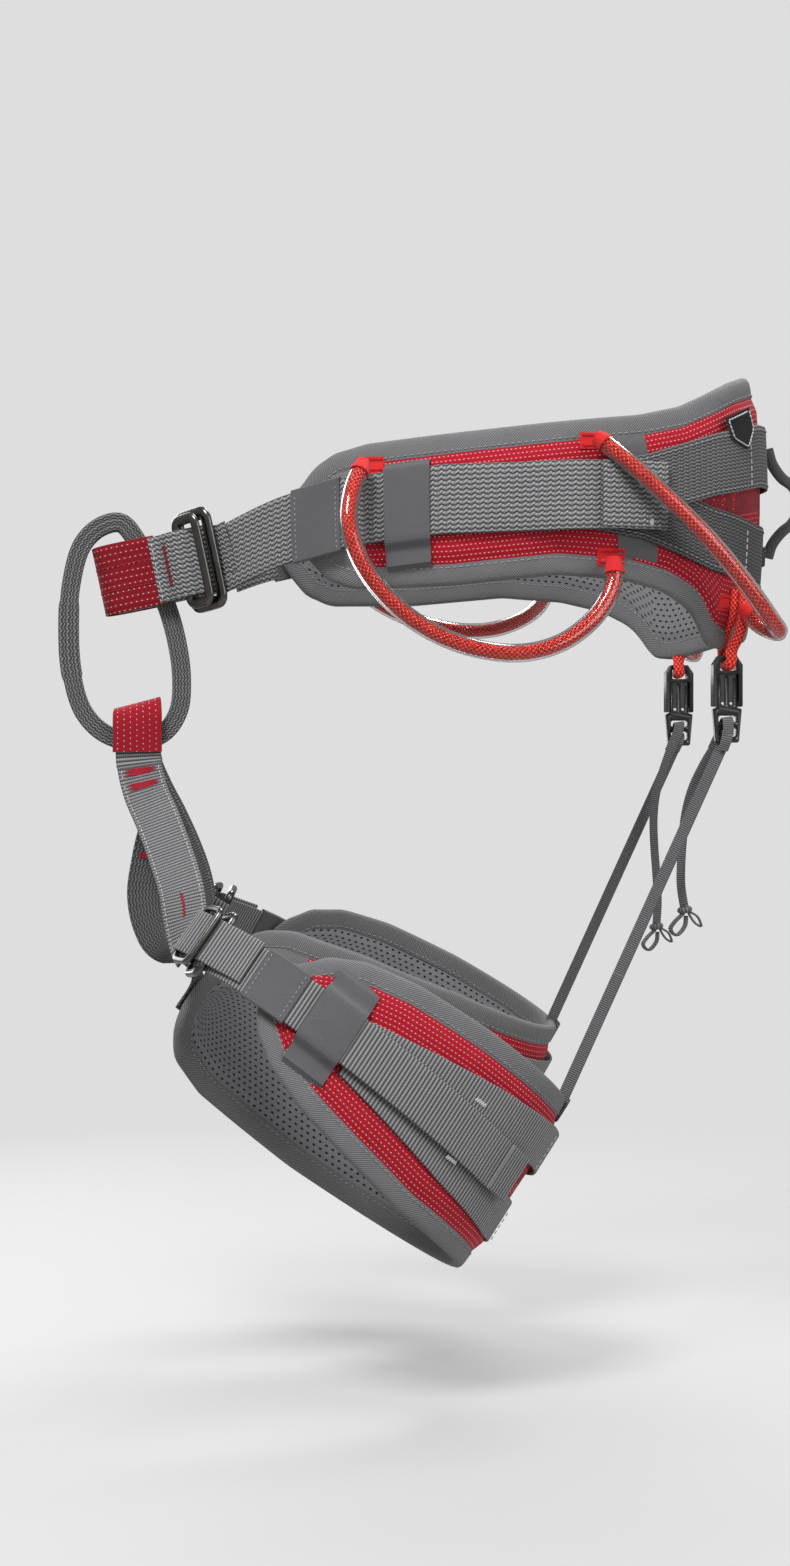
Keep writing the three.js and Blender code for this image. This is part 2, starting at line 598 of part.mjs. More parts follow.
function buildLeg(sideName, side) {
  const surface = ringSurface(legPlan, legPlace(side));
  const pad = band(surface, MEDIAL_TIP, LATERAL_TIP, padProfile(legTop, legBottom));
  addMesh(`leg_pad_${sideName}`, pad, COLOURS.binding);

  const panel = flatProfile(
    (along) => legTop(along) - PANEL_MARGIN, (along) => legBottom(along) + PANEL_MARGIN,
    level(PANEL_INNER), level(PANEL_OUTER),
  );
  addMesh(`leg_panel_${sideName}`, band(surface, -220, 222, panel), COLOURS.panel);

  // The upper and lower webbing spread from the keeper and go round the back to the inner thigh.
  const upper = graph([[-200, 4], [-60, 22], [30, 24], [90, 18], [180, 4]]);
  const lower = graph([[-200, -8], [-60, -28], [30, -30], [90, -22], [180, -3]]);
  const bandHalf = LEG_WEBBING / 2 - 1;
  const bands = { upper: [upper, UPPER_BAND_INNER], lower: [lower, LOWER_BAND_INNER] };
  Object.entries(bands).forEach(([name, [height, inner]]) => {
    const section = flatProfile(
      (along) => height(along) + bandHalf, (along) => height(along) - bandHalf,
      level(inner), level(inner + WEBBING_THICKNESS),
    );
    addMesh(`leg_band_${name}_${sideName}`, band(surface, -205, 178, section), COLOURS.webbing);
  });

  // The adjusting strap runs from the buckle through both keepers; its tail ends near the back.
  const strapInner = graph([[40, WEBBING_RAISED], [185, WEBBING_RAISED], [205, WEBBING_INNER]]);
  const section = flatProfile(
    (along) => legWebMiddle(along) + LEG_WEBBING / 2, (along) => legWebMiddle(along) - LEG_WEBBING / 2,
    strapInner, (along) => strapInner(along) + WEBBING_THICKNESS,
  );
  addMesh(`leg_webbing_${sideName}`, band(surface, 45, 297, section), COLOURS.webbing);

  const wide = keeperProfile(
    legWebMiddle, LEG_WEBBING, 37, LOWER_BAND_INNER, WEBBING_RAISED + WEBBING_THICKNESS + LAYER_GAP,
  );
  addMesh(`leg_keeper_${sideName}`, band(surface, 182, 211, wide, KEEPER_STEP), COLOURS.elastic);
  const sliding = slidingKeeper(
    surface, 222, 252, legWebMiddle, LEG_WEBBING, WEBBING_INNER - LAYER_GAP, WEBBING_OUTER + LAYER_GAP,
  );
  addMesh(`leg_sliding_keeper_${sideName}`, sliding, COLOURS.elastic);

  // Buckle at the front of the ring: the adjusting strap goes under its outer bar.
  const across = surface(290, 30, 0).sub(surface(290, -10, 0)).normalize();
  const frame = frameBetween(surface(284, 11, 14.6), surface(310, 11, 6), across, LEG_BUCKLE.frame);
  addMesh(`leg_buckle_frame_${sideName}`, frame, COLOURS.metal, METAL);
  const slider = frameBetween(surface(288, 11, 22), surface(306, 11, 20), across, LEG_BUCKLE.slider);
  addMesh(`leg_buckle_slider_${sideName}`, slider, COLOURS.metal, METAL);

  buildTieStraps(sideName, side, surface);
}

// Adds straight steps between vectors, so that a strap that twists bends evenly.
function finer(vectors, steps) {
  const spans = vectors.slice(1).map((next, index) => (
    Array.from({ length: steps }, (_, step) => vectors[index].clone().lerp(next, step / steps))));
  return [...spans.flat(), vectors[vectors.length - 1]];
}

// The strap from the belay loop to the buckle, and the one that leaves it for the inner thigh.
function buildTieStraps(sideName, side, surface) {
  const place = (x, y, z, swing) => swingPoint(point(x, y, z), side, swing);
  const direction = (x, y, z, swing) => place(x, y + LEG_PIVOT.y, z + LEG_PIVOT.z, swing)
    .sub(point(0, LEG_PIVOT.y, LEG_PIVOT.z));

  // Inside the sleeve the strap lies still, and below it the strap takes up the leg's swing.
  const swingAt = (index) => legSwing(side) * THREE.MathUtils.clamp((index - 3) / 2, 0, 1);
  const tieRoute = [
    [1.8, -249, -146], [6, -249, -147.5], [10, -249, -153], [10.6, -248.5, -160],
    [10.8, -248, -181], [17, -244, -200], [32, -236, -220], [50, -228, -243],
    [68, -222, -265], [80, -219.5, -285], [92, -218.5, -297], [104, -217.5, -301],
  ].map(([x, y, z], index) => place(x, y, z, swingAt(index)));
  const tieAcross = [
    [0.97, 0.26], [0.97, 0.26], [0.97, 0.26], [0.97, 0.26], [0.96, 0.28], [0.95, 0.3],
    [0.94, 0.33], [0.92, 0.38], [0.86, 0.5], [0.75, 0.66], [0.6, 0.8], [0.53, 0.85],
  ].map(([y, z], index) => direction(0, y, z, swingAt(index)));
  addMesh(`tie_strap_${sideName}`, strap(tieRoute, tieAcross, 30), COLOURS.webbing);

  const medialRoute = [
    place(27, -234, -224), place(23, -240, -246), place(25, -244, -268), place(34, -241, -290),
    place(47, -231, -306), surface(-277, -2, 12), surface(-274, -28, 9.6),
  ];
  const medialAcross = [
    [0.2, 0.93, 0.3], [0.35, 0.93, 0.15], [0.5, 0.85, 0], [0.7, 0.7, 0], [0.85, 0.5, 0],
    [1, -0.3, 0], [1, -0.35, 0],
  ].map(([x, y, z]) => direction(x, y, z));
  const medial = strap(finer(medialRoute, 3), finer(medialAcross, 3), 28);
  addMesh(`medial_strap_${sideName}`, medial, COLOURS.webbing);
}

// ---- elastic risers: each is cut in three, so that every piece spans one moving joint ----
function buildRiser(sideName, side) {
  const surface = ringSurface(legPlan, legPlace(side));
  const foot = surface(8, 66, 0);
  const top = point(side * CLIP.x, CLIP.y - 3, CLIP.top - CLIP.length - 26);
  const pieces = 3;
  const gap = 0.4;
  const whole = foot.clone().sub(top);
  const length = whole.length();
  const direction = whole.clone().normalize();
  const across = point(0, Math.sin(radians(64)), Math.cos(radians(64)));
  for (let piece = 0; piece < pieces; piece += 1) {
    const from = top.clone().addScaledVector(direction, (piece / pieces) * length + gap);
    const to = top.clone().addScaledVector(direction, ((piece + 1) / pieces) * length - gap);
    const middle = from.clone().lerp(to, 0.5);
    const name = `riser_strap_${['upper', 'middle', 'lower'][piece]}_${sideName}`;
    addMesh(name, strap([from, middle, to], across, RISER_WIDTH, RISER_THICKNESS), COLOURS.webbing);
  }
}

const TAIL_ROUTES = {
  left: [
    [64, 134, -172], [63.5, 127, -184], [63, 120, -199], [63, 115.5, -216], [63, 113.5, -234],
    [63, 112.5, -250], [63, 112.5, -264], [63, 115, -280],
  ],
  right: [
    [-64, 134, -172], [-63.5, 129, -186], [-63, 124, -202], [-63, 122, -220], [-63, 122.5, -240],
    [-63, 124, -260], [-63, 125, -280], [-63, 124, -298],
  ],
};

function buildTail(sideName) {
  const route = smoothRoute(TAIL_ROUTES[sideName].map(([x, y, z]) => point(x, y, z)), 18);
  const tail = strap(route, point(0, 1, 0.1), TAIL_WIDTH, RISER_THICKNESS);
  addMesh(`riser_tail_${sideName}`, tail, COLOURS.darkCord);
}

buildWaistBelt();
buildTieIn();
buildBelayLoop();
buildHaulLoop();
Object.entries(SIDES).forEach(([sideName, side]) => {
  const lift = GEAR_LOOP_LIFT[sideName];
  const askew = point(0, 0.75, 0.65).normalize();
  buildGearLoop(`gear_loop_front_${sideName}`, FRONT_GEAR_LOOP, side, point(1, 0, 0), lift.front);
  buildGearLoop(`gear_loop_rear_${sideName}`, REAR_GEAR_LOOP, side, askew, lift.rear);
  buildRiserCord(sideName, side);
  buildClip(sideName, side);
  buildRiser(sideName, side);
  buildTail(sideName);
  buildLeg(sideName, side);
});

export default part;
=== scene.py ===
"""Looks of the padded climbing harness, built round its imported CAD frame.

Lengths are in millimetres until add_mesh and metres() turn them into the frame's metres.
"""

import math

import bmesh
import bpy
import numpy as np
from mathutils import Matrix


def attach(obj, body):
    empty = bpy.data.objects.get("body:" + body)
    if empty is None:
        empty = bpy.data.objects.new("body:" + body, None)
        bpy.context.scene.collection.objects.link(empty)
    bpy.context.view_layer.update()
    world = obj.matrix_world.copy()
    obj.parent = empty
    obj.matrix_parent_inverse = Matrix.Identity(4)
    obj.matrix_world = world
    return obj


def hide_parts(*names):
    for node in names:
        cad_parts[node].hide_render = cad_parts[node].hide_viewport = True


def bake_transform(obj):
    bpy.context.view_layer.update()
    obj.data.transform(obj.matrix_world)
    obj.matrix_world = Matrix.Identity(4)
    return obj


MM = 0.001
SIDES = {"left": 1, "right": -1}

# ---- camera, as far from the harness as the photograph's perspective asks ----
CAMERA_TARGET = (-8.8, -71.9, -195)
CAMERA_AZIMUTH = 83
CAMERA_DISTANCE = 1800
CAMERA_LENS = 60.05
FLOOR_HEIGHT = -590
FLOOR_RADIUS = 1400

# ---- sizes shared with the CAD ----
WAIST_WEBBING = 45
LEG_WEBBING = 32
WEBBING_THICKNESS = 2
PAD_THICKNESS = 10
PAD_EDGE_THICKNESS = 5.4
EDGE_BINDING = 13
LOWER_BAND_INNER = 7.2
UPPER_BAND_INNER = 9.8
WEBBING_INNER = 8.8
WEBBING_RAISED = 12.4
WEBBING_OUTER = WEBBING_INNER + WEBBING_THICKNESS
GEAR_TUBE_RADIUS = 6
GEAR_TUBE_BORE = 4.9
GEAR_CORD_RADIUS = 4.4
RISER_CORD_RADIUS = 2.9
RISER_WIDTH = 8
TAIL_WIDTH = 6
RISER_THICKNESS = 1.6
KEEPER_TUCK = 2.2
LEG_PIVOT = np.array([0, -247, -160.0])
LEG_CENTRE = np.array([95, -109, -382.0])
LEG_HALF_WIDTH = 75
LEG_HALF_LENGTH = 122
THIGH_AXIS = math.radians(55)
LEG_ROLL = math.radians(9)
RIGHT_LEG_SWING = math.radians(7)
GEAR_LOOP_LIFT = {"left": {"front": 0, "rear": 0}, "right": {"front": 42, "rear": -15}}
TIE_IN_TILT = math.radians(12)
POCKET_HALF = 11
TIE_IN_REAR = -205
TIE_IN_HEIGHT = -45
WAIST_DISH = 6
WAIST_HALF_HEIGHT = 95
SHARP_EDGE = math.radians(50)
SLOW_WAVE = 17.0  # millimetres in which worn webbing waves through one radian
CLIP = {"x": 70, "y": 142, "top": -110, "length": 34}

# ---- colours, linear ----
WEBBING_LIGHT = (0.44, 0.44, 0.45)
WEBBING_DARK = (0.014, 0.014, 0.016)
BINDING_GREY = (0.15, 0.15, 0.155)
ELASTIC_GREY = (0.118, 0.118, 0.124)
LINER_GREY = (0.15, 0.148, 0.156)
PANEL_RED = (0.42, 0.007, 0.021)
SLEEVE_RED = (0.23, 0.004, 0.011)
CORD_RED = (0.86, 0.035, 0.02)
THREAD_GREY = (0.33, 0.33, 0.34)
THREAD_WHITE = (0.62, 0.62, 0.63)
THREAD_RED = (0.40, 0.012, 0.03)
BACKGROUND = (0.73, 0.73, 0.73)
AMBIENT_LIGHT = 0.42
CLOTH_SPECULAR = 0.18
SMOOTHEST_CLOTH = 0.55

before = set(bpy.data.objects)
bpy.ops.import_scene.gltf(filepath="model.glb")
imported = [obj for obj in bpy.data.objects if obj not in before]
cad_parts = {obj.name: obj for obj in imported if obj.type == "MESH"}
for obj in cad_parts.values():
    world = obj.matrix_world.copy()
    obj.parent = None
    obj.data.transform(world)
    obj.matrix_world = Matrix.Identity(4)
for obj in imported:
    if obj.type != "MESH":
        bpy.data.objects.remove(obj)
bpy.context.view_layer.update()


# ---- small helpers ----
def unit(vector):
    vector = np.asarray(vector, float)
    return vector / np.linalg.norm(vector, axis=-1, keepdims=True)


def metres(point):
    return tuple(float(value) * MM for value in point)


def graph(pairs):
    """A function that runs straight between (place, value) pairs."""
    places, values = zip(*pairs)
    return lambda place: np.interp(place, places, values)


def value_at(value, place):
    """A plain number as it is, or a graph's value at a place."""
    return float(value(place)) if callable(value) else value


def mirrored(function):
    return lambda place: function(np.abs(place))


def smooth(share):
    """Eases from 0 to 1, with a level start and end."""
    share = np.clip(share, 0, 1)
    return share * share * (3 - 2 * share)


def stations(start, end, step):
    count = max(1, round(abs(end - start) / step))
    return np.linspace(start, end, count + 1)


class Curve:
    """A centripetal Catmull-Rom curve through points, read by its share of the length."""

    STEPS = 24

    def __init__(self, points, looped=False):
        points = np.asarray(points, float)
        if looped:
            points = np.vstack([points[-1], points, points[:2]])
        else:
            points = np.vstack([2 * points[0] - points[1], points, 2 * points[-1] - points[-2]])
        places = [points[1]]
        for index in range(1, len(points) - 2):
            places.extend(self._span(points[index - 1:index + 3]))
        self.places = np.array(places)
        pieces = np.linalg.norm(np.diff(self.places, axis=0), axis=1)
        self.reached = np.concatenate([[0], np.cumsum(pieces)])
        self.length = self.reached[-1]
        self.looped = looped

    def _span(self, four):
        knots = [max(np.linalg.norm(b - a) ** 0.5, 1e-6) for a, b in zip(four, four[1:])]
        first, middle, last = knots
        before, start, end, after = four
        chord = (end - start) / middle
        leave = (start - before) / first - (end - before) / (first + middle) + chord
        arrive = chord - (after - start) / (middle + last) + (after - end) / last
        leave, arrive = leave * middle, arrive * middle
        for step in range(1, self.STEPS + 1):
            t = step / self.STEPS
            yield (
                start + leave * t
                + (-3 * start + 3 * end - 2 * leave - arrive) * t ** 2
                + (2 * start - 2 * end + leave + arrive) * t ** 3
            )

    def at(self, share):
        share = np.asarray(share, float)
        share = share % 1.0 if self.looped else np.clip(share, 0, 1)
        reach = share * self.length
        return np.stack([np.interp(reach, self.reached, column) for column in self.places.T], -1)

    def tangent(self, share):
        share = np.asarray(share, float)
        small = 1.5 / self.length
        if self.looped:
            return unit(self.at(share + small) - self.at(share - small))
        share = np.clip(share, 0, 1)
        return unit(self.at(np.minimum(share + small, 1)) - self.at(np.maximum(share - small, 0)))


class Wrap:
    """The middle surface of a pad that goes round the body: (along, height, out) to a point."""

    def __init__(self, half_plan, place):
        half = np.asarray(half_plan, float)
        right = half[1:][::-1] * [-1, 1]
        self.curve = Curve(np.vstack([right, half]))
        self.place = place

    def __call__(self, along, height, out):
        along, height, out = np.broadcast_arrays(*(np.asarray(v, float) for v in (along, height, out)))
        share = 0.5 + along / self.curve.length
        spot = self.curve.at(share)
        forward = self.curve.tangent(share)
        return self.place(spot[..., 0] - forward[..., 1] * out, spot[..., 1] + forward[..., 0] * out, height)

    def locate(self, point):
        """(along, height) of the place on the surface nearest to a point."""
        along, height = np.meshgrid(np.arange(-380, 380, 4), np.arange(-100, 90, 3), indexing="ij")
        gap = np.linalg.norm(self(along, height, 0) - np.asarray(point, float), axis=-1)
        best = np.unravel_index(gap.argmin(), gap.shape)
        return along[best], height[best]


class Ribbon:
    """A free strap's middle surface, read like a Wrap's: (along, across, out) to a point."""

    def __init__(self, route, across, looped=False):
        self.curve = Curve(route, looped)
        self.length = self.curve.length
        across = np.asarray(across, float)
        if across.ndim == 1:
            across = np.tile(across, (len(route), 1))
        self.across = unit(across)
        ends = [self.curve.reached[index * Curve.STEPS] for index in range(len(route))]
        self.knots = np.array(ends) / self.length
        if looped:
            self.knots = np.append(self.knots, 1)
            self.across = np.vstack([self.across, self.across[:1]])

    def __call__(self, along, across, out):
        along, across, out = np.broadcast_arrays(*(np.asarray(v, float) for v in (along, across, out)))
        share = along / self.length
        wish = np.stack([np.interp(share, self.knots, column) for column in self.across.T], -1)
        forward = self.curve.tangent(share)
        normal = unit(np.cross(forward, wish))
        side = np.cross(normal, forward)
        return self.curve.at(share) + side * across[..., None] + normal * out[..., None]


# ---- meshes ----
def add_object(name, data):
    made = bpy.data.objects.new(name, data)
    bpy.context.scene.collection.objects.link(made)
    return made


def enter(piece, body, replaces):
    """Tells the frame which nodes a piece replaces, and the body it rides on."""
    if replaces:
        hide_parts(*replaces)
    if body:
        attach(piece, body)


def add_mesh(name, corners, faces, uvs, material, body, slot, replaces=()):
    mesh = bpy.data.meshes.new(name)
    mesh.from_pydata((np.asarray(corners) * MM).tolist(), [], faces)
    layer = mesh.uv_layers.new(name="UVMap")
    layer.data.foreach_set("uv", np.asarray(uvs, np.float32).ravel())
    worked = bmesh.new()
    worked.from_mesh(mesh)
    bmesh.ops.recalc_face_normals(worked, faces=worked.faces)
    worked.to_mesh(mesh)
    worked.free()
    mesh.polygons.foreach_set("use_smooth", [True] * len(mesh.polygons))
    mesh.set_sharp_from_angle(angle=SHARP_EDGE)
    for one in material if isinstance(material, list) else [material]:
        mesh.materials.append(one)
    piece = add_object(name, mesh)
    enter(piece, body, replaces)
    return piece


def loft(name, rings, looks, looped=False, closed=True, along=None, across=None):
    """A skin through rings of corners, with UVs in millimetres. looks holds add_mesh's last arguments."""
    count, size = rings.shape[:2]
    joined = np.concatenate([rings, rings[:1]]) if looped else rings
    if along is None:
        middles = joined.mean(1)
        along = np.concatenate([[0], np.cumsum(np.linalg.norm(np.diff(middles, axis=0), axis=1))])
    ring = rings[count // 2]
    round_trip = np.vstack([ring, ring[:1]])
    around = np.concatenate([[0], np.cumsum(np.linalg.norm(np.diff(round_trip, axis=0), axis=1))])
    around = np.tile(around, (len(joined), 1)) if across is None else across
    spans = count if looped else count - 1
    sides = size if closed else size - 1
    faces, uvs = [], []
    for span in range(spans):
        here, there = span * size, ((span + 1) % count) * size
        for side in range(sides):
            after = (side + 1) % size
            faces.append((here + side, here + after, there + after, there + side))
            uvs += [
                (along[span], around[span][side]), (along[span], around[span][side + 1]),
                (along[span + 1], around[span + 1][side + 1]), (along[span + 1], around[span + 1][side]),
            ]
    if closed and not looped:
        for start in (0, (count - 1) * size):
            faces.append(tuple(range(start, start + size)))
            uvs += [(0, value) for value in around[0][:-1]]
    return add_mesh(name, rings.reshape(-1, 3), faces, uvs, **looks)


def tape_section(width, thickness):
    """Corners (across, out) round a flat tape whose two edges are rounded."""
    radius = thickness / 2
    flat = np.linspace(-1, 1, 9) * (width / 2 - radius)
    bend = np.linspace(math.pi / 2, -math.pi / 2, 5)[1:-1]
    face = [(x, radius) for x in flat]
    right = [(flat[-1] + radius * math.cos(a), radius * math.sin(a)) for a in bend]
    return np.array(face + right + [(-x, -z) for x, z in face] + [(-x, -z) for x, z in right])


def tape(name, surface, start, end, looks, width, inner, middle=0, thickness=WEBBING_THICKNESS,
         step=4, wave=0):
    """A strap lying on a surface from start to end; inner is how far out its inner face lies."""
    rings = []
    for place in stations(start, end, step):
        wide, centre, base = (value_at(value, place) for value in (width, middle, inner))
        section = tape_section(wide, thickness)
        cup = wave * math.sin(place / SLOW_WAVE) * (1 - (2 * section[:, 0] / wide) ** 2)
        rings.append(surface(place, centre + section[:, 0], base + thickness / 2 + section[:, 1] + cup))
    return loft(name, np.array(rings), looks)


def ribbon_strap(name, ribbon, looks, width, thickness=WEBBING_THICKNESS, step=4, wave=0):
    """A strap whose middle is the whole of a ribbon."""
    return tape(name, ribbon, 0, ribbon.length, looks, width, -thickness / 2,
                thickness=thickness, step=step, wave=wave)


def tube(name, curve, radius, looks, start=0.0, end=1.0, sides=14, step=3.0, bore=None, squash=1.0):
    """A round cord along a curve; with a bore it is an open-ended hose wall."""
    count = max(4, round(curve.length * (end - start) / step))
    share = np.linspace(start, end, count + (0 if curve.looped else 1), endpoint=not curve.looped)
    spots, forward = curve.at(share), curve.tangent(share)
    normal = unit(np.cross(forward[0], [0.31, 0.52, 0.79]))
    rings = []
    angle = np.linspace(0, 2 * math.pi, sides, endpoint=False)
    for spot, ahead, place in zip(spots, forward, share):
        normal = unit(normal - ahead * normal.dot(ahead))
        side = np.cross(ahead, normal)
        reach = radius(place) if callable(radius) else radius
        outline = np.cos(angle)[:, None] * normal + squash * np.sin(angle)[:, None] * side
        rings.append(spot + outline * reach)
    rings = np.array(rings)
    if bore is None:
        return loft(name, rings, looks, looped=curve.looped)
    inside = spots[:, None] + (rings - spots[:, None]) * bore / radius
    return loft(name, np.concatenate([rings, inside[::-1]]), looks, looped=True)


class Threads:
    """Collects stitches, and makes them one piece for each body and colour."""

    RING = 5

    def __init__(self):
        self.batches = {}

    def stitch(self, key, start, end, radius=0.42):
        along = end - start
        size = np.linalg.norm(along)
        if size < 0.3:
            return
        forward = along / size
        normal = unit(np.cross(forward, [0.41, 0.57, 0.71]))
        side = np.cross(forward, normal)
        angle = np.linspace(0, 2 * math.pi, self.RING, endpoint=False)
        outline = np.cos(angle)[:, None] * normal + np.sin(angle)[:, None] * side
        rings = [start + along * share + outline * radius * reach
                 for share, reach in ((0, 0.35), (0.22, 1), (0.78, 1), (1, 0.35))]
        self.batches.setdefault(key, []).append(np.array(rings))

    def row(self, key, points, stitch=2.9, gap=1.5, radius=0.42):
        """Dashes along a line of points."""
        points = np.asarray(points, float)
        reached = np.concatenate([[0], np.cumsum(np.linalg.norm(np.diff(points, axis=0), axis=1))])
        for start in np.arange(0, reached[-1] - stitch, stitch + gap):
            ends = [np.array([np.interp(at, reached, column) for column in points.T])
                    for at in (start, start + stitch)]
            self.stitch(key, *ends, radius)

    def tack(self, key, surface, along, across, out, length, width, rows=9):
        """A bar tack: a zigzag of threads packed side by side, length along the strap."""
        zigzag = np.linspace(-length / 2, length / 2, rows * 2 + 1)
        sides = np.where(np.arange(len(zigzag)) % 2, 1, -1) * width / 2
        spots = surface(along + zigzag, across + sides, out)
        for start, end in zip(spots, spots[1:]):
            self.stitch(key, start, end, 0.45)

    def finish(self):
        ring = self.RING
        for (body, colour), batch in self.batches.items():
            faces = []
            for index in range(len(batch)):
                for level_index in range(3):
                    here = index * 4 * ring + level_index * ring
                    for k in range(ring):
                        after = (k + 1) % ring
                        faces.append((here + k, here + after, here + ring + after, here + ring + k))
            corners = np.concatenate([b.reshape(-1, 3) for b in batch])
            uvs = np.zeros((len(faces) * 4, 2))
            add_mesh(f"stitches_{colour}_{body}", corners, faces, uvs, THREAD_LOOKS[colour],
                     body, "red_webbing" if colour == "red" else "grey_webbing")


threads = Threads()


# ---- materials ----
class Shader:
    """One procedural material. Its patterns read the UV map, which is in millimetres."""

    def __init__(self, name, roughness, metallic=0.0, sheen=0.0):
        self.material = bpy.data.materials.new(name)
        self.material.use_nodes = True
        self.tree = self.material.node_tree
        self.surface = self.tree.nodes["Principled BSDF"]
        self.surface.inputs["Roughness"].default_value = roughness
        self.surface.inputs["Metallic"].default_value = metallic
        self.surface.inputs["Sheen Weight"].default_value = sheen
        self.surface.inputs["Sheen Roughness"].default_value = 0.5
        if roughness > SMOOTHEST_CLOTH:
            self.surface.inputs["Specular IOR Level"].default_value = CLOTH_SPECULAR
        split = self.node("ShaderNodeSeparateXYZ")
        self.tree.links.new(self.node("ShaderNodeTexCoord").outputs["UV"], split.inputs[0])
        self.along, self.across = split.outputs[0], split.outputs[1]

    def node(self, kind, **settings):
        made = self.tree.nodes.new(kind)
        for key, value in settings.items():
            setattr(made, key, value)
        return made

    def math(self, operation, *values):
        made = self.node("ShaderNodeMath", operation=operation)
        for socket, value in zip(made.inputs, values):
            if isinstance(value, (int, float)):
                socket.default_value = value
            else:
                self.tree.links.new(value, socket)
        return made.outputs[0]

    def wave(self, value, pitch, shift=0.0):
        """Runs between 0 and 1 once in every pitch millimetres."""
        turn = self.math("MULTIPLY_ADD", value, 2 * math.pi / pitch, shift)
        return self.math("MULTIPLY_ADD", self.math("SINE", turn), 0.5, 0.5)

    def noise(self, scale, detail=2.0):
        """Cloudy variation, in object coordinates of metres."""
        made = self.node("ShaderNodeTexNoise")
        made.inputs["Scale"].default_value = scale
        made.inputs["Detail"].default_value = detail
        self.tree.links.new(self.node("ShaderNodeTexCoord").outputs["Object"], made.inputs["Vector"])
        return made.outputs["Fac"]

    def ramp(self, value, slope, start):
        """start + slope * value, held between 0 and 1."""
        line = self.math("MULTIPLY_ADD", value, slope, start)
        return self.math("MINIMUM", self.math("MAXIMUM", line, 0.0), 1.0)

    def from_dots(self, row, pitch, high_scale, wide_scale):
        """Distance from the nearest of a staggered grid of dots."""
        rows = self.math("DIVIDE", self.across, row)
        steps = self.math("DIVIDE", self.along, pitch)
        steps = self.math("MULTIPLY_ADD", self.math("FLOOR", rows), 0.5, steps)
        high = self.math("SUBTRACT", self.math("FRACT", rows), 0.5)
        wide = self.math("SUBTRACT", self.math("FRACT", steps), 0.5)
        high = self.math("MULTIPLY", high, row * high_scale)
        wide = self.math("MULTIPLY", wide, pitch * wide_scale)
        squares = self.math("MULTIPLY_ADD", high, high, self.math("MULTIPLY", wide, wide))
        return self.math("SQRT", squares)

    def mix(self, share, dark, light):
        made = self.node("ShaderNodeMix", data_type="RGBA")
        self.tree.links.new(share, made.inputs["Factor"])
        for name, colour in (("A", dark), ("B", light)):
            socket = [s for s in made.inputs if s.name == name and s.type == "RGBA"][0]
            if isinstance(colour, tuple):
                socket.default_value = (*colour, 1)
            else:
                self.tree.links.new(colour, socket)
        return [s for s in made.outputs if s.type == "RGBA"][0]

    def finish(self, colour, height=None, depth=0.3, rough=None):
        self.tree.links.new(colour, self.surface.inputs["Base Color"])
        if height is not None:
            bump = self.node("ShaderNodeBump")
            bump.inputs["Distance"].default_value = depth * MM
            bump.inputs["Strength"].default_value = 1.0
            self.tree.links.new(height, bump.inputs["Height"])
            self.tree.links.new(bump.outputs[0], self.surface.inputs["Normal"])
        if rough is not None:
            self.tree.links.new(rough, self.surface.inputs["Roughness"])
        return self.material


def scaled(colour, factor):
    return tuple(value * factor for value in colour)


def worn(shader, dark, light, share):
    """Mixes two tones by a pattern, then clouds the result a little, as washed cloth is."""
    cloudy = shader.noise(22.0, 3.0)
    clean = shader.mix(share, dark, light)
    faded = shader.mix(share, scaled(dark, 1.5), scaled(light, 1.25))
    return shader.mix(shader.math("MULTIPLY", cloudy, 0.8), clean, faded)


def chevron_webbing(name, light=WEBBING_LIGHT, pitch=3.2, span=2.7):
    """Rows that run along the strap in small zigzags, with dark gaps between them."""
    shader = Shader(name, 0.82, sheen=0.06)
    zigzag = shader.math("PINGPONG", shader.along, span)
    strand = shader.wave(shader.math("MULTIPLY_ADD", zigzag, 0.5, shader.across), pitch)
    dash = shader.wave(shader.math("MULTIPLY_ADD", shader.across, span / pitch, shader.along), span)
    broken = shader.math("MULTIPLY_ADD", dash, 0.6, 0.4)
    ridge = shader.math("MULTIPLY", shader.math("POWER", strand, 0.7), broken)
    fibre = shader.wave(shader.math("SUBTRACT", shader.along, shader.across), 0.6)
    height = shader.math("ADD", ridge, shader.math("MULTIPLY", fibre, 0.12))
    share = shader.math("MULTIPLY_ADD", ridge, 0.95, 0.03)
    return shader.finish(worn(shader, WEBBING_DARK, light, share), height, 0.8)


def ribbed_webbing(name, light, pitch, dark=WEBBING_DARK):
    """Ribs across the strap, each crossed by fine threads."""
    shader = Shader(name, 0.85, sheen=0.06)
    rib = shader.math("POWER", shader.wave(shader.along, pitch), 0.8)
    thread = shader.wave(shader.across, 1.4)
    woven = shader.math("MULTIPLY", rib, shader.math("MULTIPLY_ADD", thread, 0.35, 0.65))
    share = shader.math("MULTIPLY_ADD", woven, 0.9, 0.06)
    return shader.finish(worn(shader, dark, light, share), woven, 0.6)


def twill(name, colour, pitch=1.8, contrast=0.42, slant=1.0):
    shader = Shader(name, 0.88, sheen=0.08)
    slanted = shader.math("MULTIPLY_ADD", shader.across, slant, shader.along)
    strand = shader.wave(slanted, pitch)
    cross = shader.wave(shader.math("SUBTRACT", shader.across, shader.along), pitch * 0.6)
    height = shader.math("ADD", strand, shader.math("MULTIPLY", cross, 0.4))
    return shader.finish(
        worn(shader, scaled(colour, 1 - contrast), scaled(colour, 1 + contrast), strand), height, 0.25)


